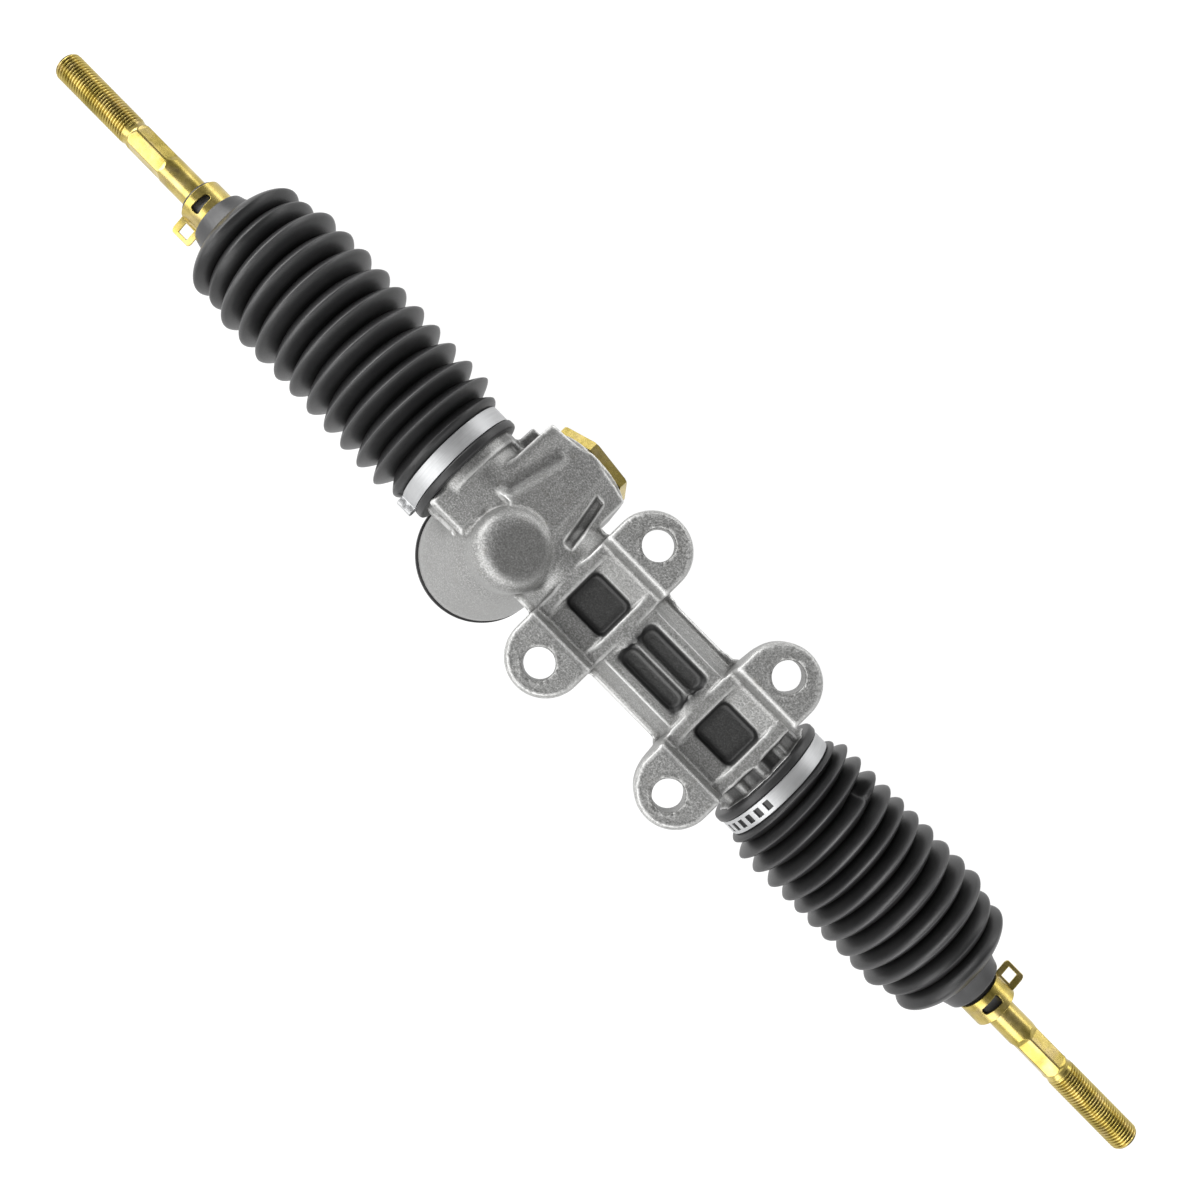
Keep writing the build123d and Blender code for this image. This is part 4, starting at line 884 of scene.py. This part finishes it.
LOOP_EDGE = [  # (distance from the axis, inset of the outline)
    (8.9, 0.0), (9.6, 0.0), (10.2, 0.0), (11.5, 0.0), (13.0, 0.0), (14.6, 0.0), (15.55, 0.25),
    (16.3, 0.9),
]
LOOP_OPEN = slice(2, 5)  # the rows that have the opening
LOOP_STRIPS = {LEFT: (2.8, 2.4), RIGHT: (2.4, 2.8)}  # widths of its two legs
LOOP_THICK = 1.0
LOOP_LIFT, LOOP_DROP, LOOP_BEND = 0.9, 1.5, 1.3


def round_grid(angles, xs, radius):
    """Points round the axis, one row for each angle and one column for each x."""
    angles = np.asarray(angles, float)
    if angles.ndim == 1:
        angles = angles[:, None]
    shape = np.broadcast_shapes(angles.shape, np.shape(xs), np.shape(radius))
    xs = np.broadcast_to(np.asarray(xs, float), shape)
    radius = np.broadcast_to(np.asarray(radius, float), shape)
    return np.stack([xs, -radius * np.sin(angles), radius * np.cos(angles)], axis=2)


def plate(name, outer, inner, keep, slot, closed=False, rounding=0.12):
    """A strip between two grids of points, open where keep is False."""
    rows, columns = outer.shape[:2]
    spans = rows if closed else rows - 1
    base = rows * columns
    faces = []

    def is_open(i, j):
        if closed:
            i %= spans
        return not (0 <= i < spans and 0 <= j < columns - 1 and keep[i, j])

    for i in range(spans):
        for j in range(columns - 1):
            if not keep[i, j]:
                continue
            here, after = i * columns + j, (i + 1) % rows * columns + j
            ring = (here, after, after + 1, here + 1)
            faces.append(ring)
            faces.append(tuple(base + k for k in reversed(ring)))
            sides = ((0, 1, 0, -1), (1, 2, 1, 0), (2, 3, 0, 1), (3, 0, -1, 0))
            for near, far, step_i, step_j in sides:
                if is_open(i + step_i, j + step_j):
                    faces.append((ring[far], ring[near], base + ring[near], base + ring[far]))
    points = np.concatenate([outer.reshape(-1, 3), inner.reshape(-1, 3)])
    made = piece(name, points, faces, slot)
    make_outward(made)
    strip_map(made)
    sharpen(made, 35)
    bevel(made, rounding)
    return made


def strip_map(obj):
    """Texture coordinates across and along a strip that runs round the rack axis."""
    mesh = obj.data
    uv = mesh.uv_layers.new(name="UVMap")
    for face in mesh.polygons:
        middle = -atan2(face.center.y, face.center.z - AXIS_Z * MM)
        for loop in face.loop_indices:
            spot = mesh.vertices[mesh.loops[loop].vertex_index].co
            turn = -atan2(spot.y, spot.z - AXIS_Z * MM)
            turn = middle + (turn - middle + pi) % (2 * pi) - pi
            uv.data[loop].uv = (spot.x, turn * CUFF_R * MM)


def band(side):
    """A large band on the cuff, with its slots. Gives the places of its two edges."""
    near = LIP_X[side] + side * BAND_START
    low, high = sorted((near, near + side * BAND_WIDTH[side]))
    middle = (low + high) / 2
    cuts = [(angle - SLOT_HALF, angle + SLOT_HALF) for angle in BAND_SLOTS[side]]
    angles = [edge for cut in cuts for edge in cut]
    for angle in np.arange(0.0, 360.0, BAND_STEP):
        if not any(start - SLOT_CLEAR < angle < end + SLOT_CLEAR for start, end in cuts):
            angles.append(angle)
    angles.sort()
    xs = (low, middle - SLOT_ACROSS / 2, middle + SLOT_ACROSS / 2, high)
    keep = np.ones((len(angles), 3), bool)
    for start, _ in cuts:
        keep[angles.index(start), 1] = False
    turns = np.radians(angles)
    outer = round_grid(turns, xs, CUFF_R + BAND_THICK + BAND_CROWN)
    inner = round_grid(turns, xs, CUFF_R + BAND_FIT)
    name = SIDE_NAME[side] + "_large_band"
    made = plate(name, outer, inner, keep, "bright_band_steel", closed=True)
    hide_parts(SIDE_NAME[side] + "_large_clamp")
    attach(made, "housing")
    return low, high


def band_ear(side, low, high):
    """The pinched ear that closes a band: two legs with a dimple, and a top."""
    columns = np.linspace(low + EAR_INSET, high - EAR_INSET, EAR_COLUMNS)
    share, rise = (column[:, None] * np.ones(EAR_COLUMNS) for column in np.array(EAR_OUTLINE).T)
    across = columns - (low + high) / 2
    dimple = hill(across, 0.0, DIMPLE_HALF) * hill(rise, DIMPLE_RISE, 1.0)
    bulge = hill(np.abs(across), BULGE_AT, BULGE_HALF) * hill(rise, BULGE_RISE, 1.0)
    legs = share * (1 - DIMPLE_DEPTH * dimple + BULGE_HEIGHT * bulge) * EAR_HALF
    middle = radians(EAR_ANGLE[side])
    foot = CUFF_R + BAND_THICK
    outer = round_grid(middle + legs, columns, foot + rise)
    within = foot + np.maximum(rise - EAR_WALL, EAR_SUNK)
    inner = round_grid(middle + legs * EAR_INSIDE, columns, within)
    keep = np.ones((len(EAR_OUTLINE) - 1, EAR_COLUMNS - 1), bool)
    name = SIDE_NAME[side] + "_band_ear"
    made = plate(name, outer, inner, keep, "bright_band_steel", rounding=0.1)
    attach(made, "housing")


def small_clip(side):
    """A spring clip on the neck: a strip with a tapering window, and its loop."""
    low = CLIP_NEAR[side]
    high = low + CLIP_WIDTH
    middle = (low + high) / 2
    start, end = CLIP_WINDOW
    rest = np.linspace(end, start + 2 * pi, REST_STEPS)[1:-1]
    angles = np.concatenate([np.linspace(start, end, WINDOW_STEPS), rest])
    share = np.linspace(0.0, 1.0, WINDOW_STEPS)
    corner = np.clip(np.minimum(share, 1 - share) / WINDOW_CORNER, 0, 1)
    half = np.interp(share, (0, 1), WINDOW_HALF[side])
    half = half * (WINDOW_END + (1 - WINDOW_END) * np.sqrt(1 - (1 - corner) ** 2))
    half = np.concatenate([half, np.linspace(half[-1], half[0], REST_STEPS)[1:-1]])
    edge = np.ones(len(angles))
    xs = np.column_stack([low * edge, middle - half, middle + half, high * edge])
    keep = np.ones((len(angles), 3), bool)
    keep[:WINDOW_STEPS - 1, 1] = False
    outer = round_grid(angles, xs, CLIP_R + CLIP_THICK)
    inner = round_grid(angles, xs, CLIP_R)
    name = SIDE_NAME[side] + "_small_clip"
    made = plate(name, outer, inner, keep, "zinc_yellow_steel", closed=True, rounding=0.22)
    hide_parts(SIDE_NAME[side] + "_small_clamp")
    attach(made, SIDE_NAME[side] + "_rod")
    clip_loop(side, low, high)


def clip_loop(side, low, high):
    """The open loop that stands off a small clip, towards +Y on the right and -Y on the left."""
    reach, inset = np.array(LOOP_EDGE).T
    near, far = LOOP_STRIPS[side]
    leg = np.ones(len(reach))
    xs = np.column_stack([low + inset, (low + near) * leg, (high - far) * leg, high - inset])
    share = (reach - reach[0]) / (reach[-1] - reach[0])
    lift = LOOP_LIFT - LOOP_DROP * share**LOOP_BEND
    faces = []
    for half in (LOOP_THICK / 2, -LOOP_THICK / 2):
        y, z = (np.broadcast_to(v[:, None], xs.shape) for v in (side * reach, lift + half))
        faces.append(np.stack([xs, y, z], axis=2))
    keep = np.ones((len(reach) - 1, 3), bool)
    keep[LOOP_OPEN, 1] = False
    made = plate(SIDE_NAME[side] + "_clip_loop", *faces, keep, "zinc_yellow_steel", rounding=0.25)
    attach(made, SIDE_NAME[side] + "_rod")


for side in (LEFT, RIGHT):
    small_clip(side)
    band_ear(side, *band(side))

bevel(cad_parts["yoke_lock_nut"], 0.3, 3)


# Pinion input

SERRATIONS = 36
SERRATION_STEPS = 6  # points for each of them
SERRATION_R = (6.9, 7.3, 7.6)  # hidden foot, valley and crest
SERRATION_SPANS = ((43.3, 49.4), (57.0, 63.0))  # on either side of the pinch groove
SERRATION_RISE = 0.5


def input_serrations():
    """The fine splines of the pinion's input end, in one sleeve on either side of its groove."""
    columns = SERRATIONS * SERRATION_STEPS
    angles = np.arange(columns) * 2 * pi / columns
    tooth = np.abs(2 * ((angles * SERRATIONS / (2 * pi)) % 1.0) - 1)
    foot, valley, crest = SERRATION_R
    hidden, valleys = np.full(columns, foot), np.full(columns, valley)
    teeth = valley + (crest - valley) * tooth
    for letter, (start, end) in zip("ab", SERRATION_SPANS):
        rings = [
            np.stack([radius * np.cos(angles), radius * np.sin(angles), np.full(columns, -z)], 1)
            for z, radius in (
                (start, hidden), (start, valleys), (start + SERRATION_RISE, teeth),
                (end - SERRATION_RISE, teeth), (end, valleys), (end, hidden),
            )
        ]
        grid = turned(np.concatenate(rings), PINION_PLACE).reshape(len(rings), columns, 3)
        made = closed_loop("input_serrations_" + letter, grid, "machined_steel")
        sharpen(made, 25)
        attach(made, "pinion")


input_serrations()


# Tie rods, with distances from the middle of the rack bar

ROD_STEPS = 96
ROD_SPANS = ((BALL_REACH, 208.9, 30), (209.0, 256.0, 190), (256.1, 293.2, 296))  # with points
ROD_OUTLINE = [  # (distance, radius)
    (158.9, 5.5), (179.0, 5.5), (189.0, 7.05), (208.9, 7.05), (209.0, 6.65), (220.3, 6.65),
    (220.7, 7.0), (224.3, 7.05), (224.6, 6.8), (225.3, 6.8), (225.7, 7.05), (229.0, 6.95),
    (233.5, 6.35), (237.0, 6.1), (252.5, 6.1), (254.2, 5.6), (255.6, 5.5), (256.2, 5.75),
    (293.2, 6.0),
]
THREAD_PITCH = 1.25
THREAD_R = 6.0
THREAD_DEPTH = 0.70
THREAD_START = (255.6, 257.4)
THREAD_FLANK, THREAD_ROOT = 1.45, 0.18  # steepness of its flanks and width of its root
TIP_START, TIP_LENGTH, TIP_DROP = 291.3, 1.9, 1.7
GROOVE_SHADE, GROOVE_POWER = 0.85, 1.5
HEX_TURN = {LEFT: radians(14.0), RIGHT: radians(23.0)}
HEX_REACH = ((234.0, 237.5), (254.4, 252.8))
HEX_FLAT, HEX_FADE = 5.3, 0.9  # from the axis to a flat, and how much more at its ends
HEX_LIMITS = (230.0, 255.0)


def tie_rod(side):
    """The tie rod outside the bellows: forged body, hexagon and a helical thread, and its ball."""
    name = SIDE_NAME[side] + "_tie_rod"
    reach = np.concatenate([np.linspace(*span) for span in ROD_SPANS])
    angles = np.arange(ROD_STEPS) * 2 * pi / ROD_STEPS
    turn = (side * reach[:, None] / THREAD_PITCH - angles / (2 * pi)) % 1.0
    tooth = np.clip(THREAD_FLANK * (1 - np.abs(2 * turn - 1)) - THREAD_ROOT, 0, 1)
    on = smooth(*THREAD_START, reach)[:, None]
    radius = np.interp(reach, *zip(*ROD_OUTLINE))[:, None] * (1 - on)
    radius = radius + (THREAD_R - THREAD_DEPTH * (1 - tooth)) * on
    past = np.clip((reach - TIP_START) / TIP_LENGTH, 0, 1)
    tip = THREAD_R - TIP_DROP + TIP_DROP * np.sqrt(1 - past**2)
    radius = np.minimum(radius, tip[:, None])
    y = -np.sin(angles) * radius
    z = np.cos(angles) * radius
    across = (HEX_FLAT + HEX_FADE * (1 - window(*HEX_REACH, reach)))[:, None]
    near = ((reach > HEX_LIMITS[0]) & (reach < HEX_LIMITS[1]))[:, None]
    for turn_to in HEX_TURN[side] + np.arange(6) * pi / 3:
        ny, nz = -sin(turn_to), cos(turn_to)
        over = np.maximum(y * ny + z * nz - across, 0) * near
        y = y - over * ny
        z = z - over * nz
    x = np.broadcast_to((RACK_MID_X + side * reach)[:, None], y.shape)
    points = np.stack([x, y, z], axis=2).reshape(-1, 3)
    # painted shade in the roots of the thread
    painted_thread_shade = GROOVE_SHADE * on * (1 - tooth) ** GROOVE_POWER
    faces = wrapped(len(reach), ROD_STEPS, close_rows=False)
    faces.append(tuple(reversed(range(ROD_STEPS))))
    tail = (len(reach) - 1) * ROD_STEPS
    faces.append(tuple(range(tail, tail + ROD_STEPS)))
    marks = {"painted_thread_shade": painted_thread_shade.ravel()}
    made = piece(name + "_forging", points, faces, "zinc_yellow_steel", marks)
    make_outward(made)
    sharpen(made, 50)
    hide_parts(name)
    ball = piece(SIDE_NAME[side] + "_rod_ball", *ball_mesh(side), "bearing_steel")
    make_outward(ball)
    for part in (ball, made):
        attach(part, SIDE_NAME[side] + "_rod")


def ball_mesh(side, rows=24, columns=40):
    """Points and faces of a tie rod's ball."""
    x = RACK_MID_X + side * BALL_REACH
    turns = [2 * pi * j / columns for j in range(columns)]
    points = [(x - BALL_R, 0, 0)]
    for i in range(1, rows):
        reach, height = BALL_R * cos(pi * i / rows), BALL_R * sin(pi * i / rows)
        points += [(x - reach, height * sin(turn), height * cos(turn)) for turn in turns]
    points.append((x + BALL_R, 0, 0))
    faces = [(0, 1 + (j + 1) % columns, 1 + j) for j in range(columns)]
    faces += [tuple(1 + k for k in face) for face in wrapped(rows - 1, columns, close_rows=False)]
    last, top = 1 + (rows - 2) * columns, len(points) - 1
    faces += [(last + j, last + (j + 1) % columns, top) for j in range(columns)]
    return points, faces


for side in (LEFT, RIGHT):
    tie_rod(side)


# Stage, light and camera

FLOOR_HALF, FLOOR_GAP = 4.0, 0.001  # metres
FLOOR_GREY = (0.80, 0.80, 0.80)
FLOOR_GLOW, FLOOR_WHITE = 1.12, 0.85  # strength of the white floor, and share seen of it
WHITE = (1, 1, 1)
ROOM = ((0.0, (0.85, 0.85, 0.85)), (0.85, (0.28, 0.28, 0.28)))  # from the horizon upward
DARK_PANEL = radians(36.0)  # the dark part of the room, tilted from overhead towards +Y
DARK_EDGE = (0.80, 0.95)  # as cosines of the angle from its middle
DARK_STRENGTH = 0.25
LAMPS = (  # name, tilt from overhead and its way, distance, size, watts
    ("key", 44, (0, -1), 1.3, (2.8, 1.0), 28.0),
    ("side", 78, (0, 1), 1.4, (1.8, 0.45), 8.0),
    ("end_left", 72, (-1, 0), 1.5, (1.2, 0.5), 15.0),
    ("end_right", 72, (1, 0), 1.5, (1.2, 0.5), 3.0),
)


def shaded(tree, factor, first, second, output):
    """Two shaders mixed by a factor, into the tree's output."""
    mixed = add_node(tree, "ShaderNodeMixShader", {"Fac": factor, 1: first, 2: second})
    add_node(tree, output, {"Surface": mixed.outputs["Shader"]})


def floor():
    """A wide pale floor just under the lowest point of the object."""
    low = cad_box[0][2] - FLOOR_GAP
    signs = ((-1, -1), (1, -1), (1, 1), (-1, 1))
    mesh = bpy.data.meshes.new("floor")
    corners = [(x * FLOOR_HALF, y * FLOOR_HALF, low) for x, y in signs]
    mesh.from_pydata(corners, [], [(0, 1, 2, 3)])
    made = bpy.data.objects.new("floor", mesh)
    scene.collection.objects.link(made)
    material = bpy.data.materials.new("floor")
    material.use_nodes = True
    tree = material.node_tree
    tree.nodes.clear()
    matt = add_node(tree, "ShaderNodeBsdfDiffuse", {"Color": FLOOR_GREY})
    white = add_node(tree, "ShaderNodeEmission", {"Color": WHITE, "Strength": FLOOR_GLOW})
    shaded(tree, see_white(tree), matt.outputs["BSDF"], white.outputs["Emission"],
           "ShaderNodeOutputMaterial")
    mesh.materials.append(material)


def see_white(tree):
    """A factor that is up for rays from the camera and for reflected and refracted rays."""
    path = add_node(tree, "ShaderNodeLightPath").outputs
    seen = path["Is Camera Ray"]
    for operation, value in (
        ("MAXIMUM", path["Is Glossy Ray"]), ("MAXIMUM", path["Is Transmission Ray"]),
        ("MULTIPLY", FLOOR_WHITE),
    ):
        made = add_node(tree, "ShaderNodeMath", {0: seen, 1: value}, operation=operation)
        seen = made.outputs["Value"]
    return seen


def surroundings():
    """A soft room: bright towards the horizon, darker overhead, white behind the object."""
    world = bpy.data.worlds.new("studio")
    scene.world = world
    world.use_nodes = True
    tree = world.node_tree
    tree.nodes.clear()
    direction = add_node(tree, "ShaderNodeTexCoord").outputs["Generated"]
    height = add_node(tree, "ShaderNodeSeparateXYZ", {"Vector": direction}).outputs["Z"]
    turn = {0: direction, 1: (0.0, sin(DARK_PANEL), cos(DARK_PANEL))}
    facing = add_node(tree, "ShaderNodeVectorMath", turn, operation="DOT_PRODUCT")
    strength = map_range(tree, facing.outputs["Value"], *DARK_EDGE, 1.0, DARK_STRENGTH)
    room = add_node(tree, "ShaderNodeBackground", {
        "Color": colour_ramp(tree, height, *ROOM), "Strength": strength,
    })
    white = add_node(tree, "ShaderNodeBackground", {"Color": WHITE})
    seen = add_node(tree, "ShaderNodeLightPath").outputs["Is Camera Ray"]
    shaded(tree, seen, room.outputs["Background"], white.outputs["Background"],
           "ShaderNodeOutputWorld")


def softbox(name, tilt, way, distance, size, power):
    """A large area lamp that points at the middle of the object, in degrees and metres."""
    lamp = bpy.data.lights.new(name, "AREA")
    lamp.shape = "RECTANGLE"
    lamp.size, lamp.size_y = size
    lamp.energy = power
    made = bpy.data.objects.new(name, lamp)
    scene.collection.objects.link(made)
    sideways = sin(radians(tilt))
    direction = Vector((way[0] * sideways, way[1] * sideways, cos(radians(tilt))))
    target = Vector((CAMERA_X, CAMERA_Y, AXIS_Z)) * MM
    made.location = target + direction * distance
    made.rotation_euler = (-direction).to_track_quat("-Z", "Y").to_euler()


def camera():
    """The camera of the photograph."""
    lens = bpy.data.cameras.new("camera")
    lens.sensor_width = SENSOR
    lens.lens = SENSOR / 2 * CAMERA_HEIGHT / HALF_VIEW
    made = bpy.data.objects.new("camera", lens)
    scene.collection.objects.link(made)
    right = Vector(CAMERA_RIGHT).normalized()
    back = Vector((0, 0, 1))
    spot = Vector((CAMERA_X, CAMERA_Y, CAMERA_HEIGHT + AXIS_Z)) * MM
    made.matrix_world = Matrix((right, back.cross(right), back)).transposed().to_4x4()
    made.matrix_world.translation = spot
    scene.camera = made


floor()
surroundings()
for lamp in LAMPS:
    softbox(*lamp)
camera()

scene.view_settings.view_transform = "Standard"
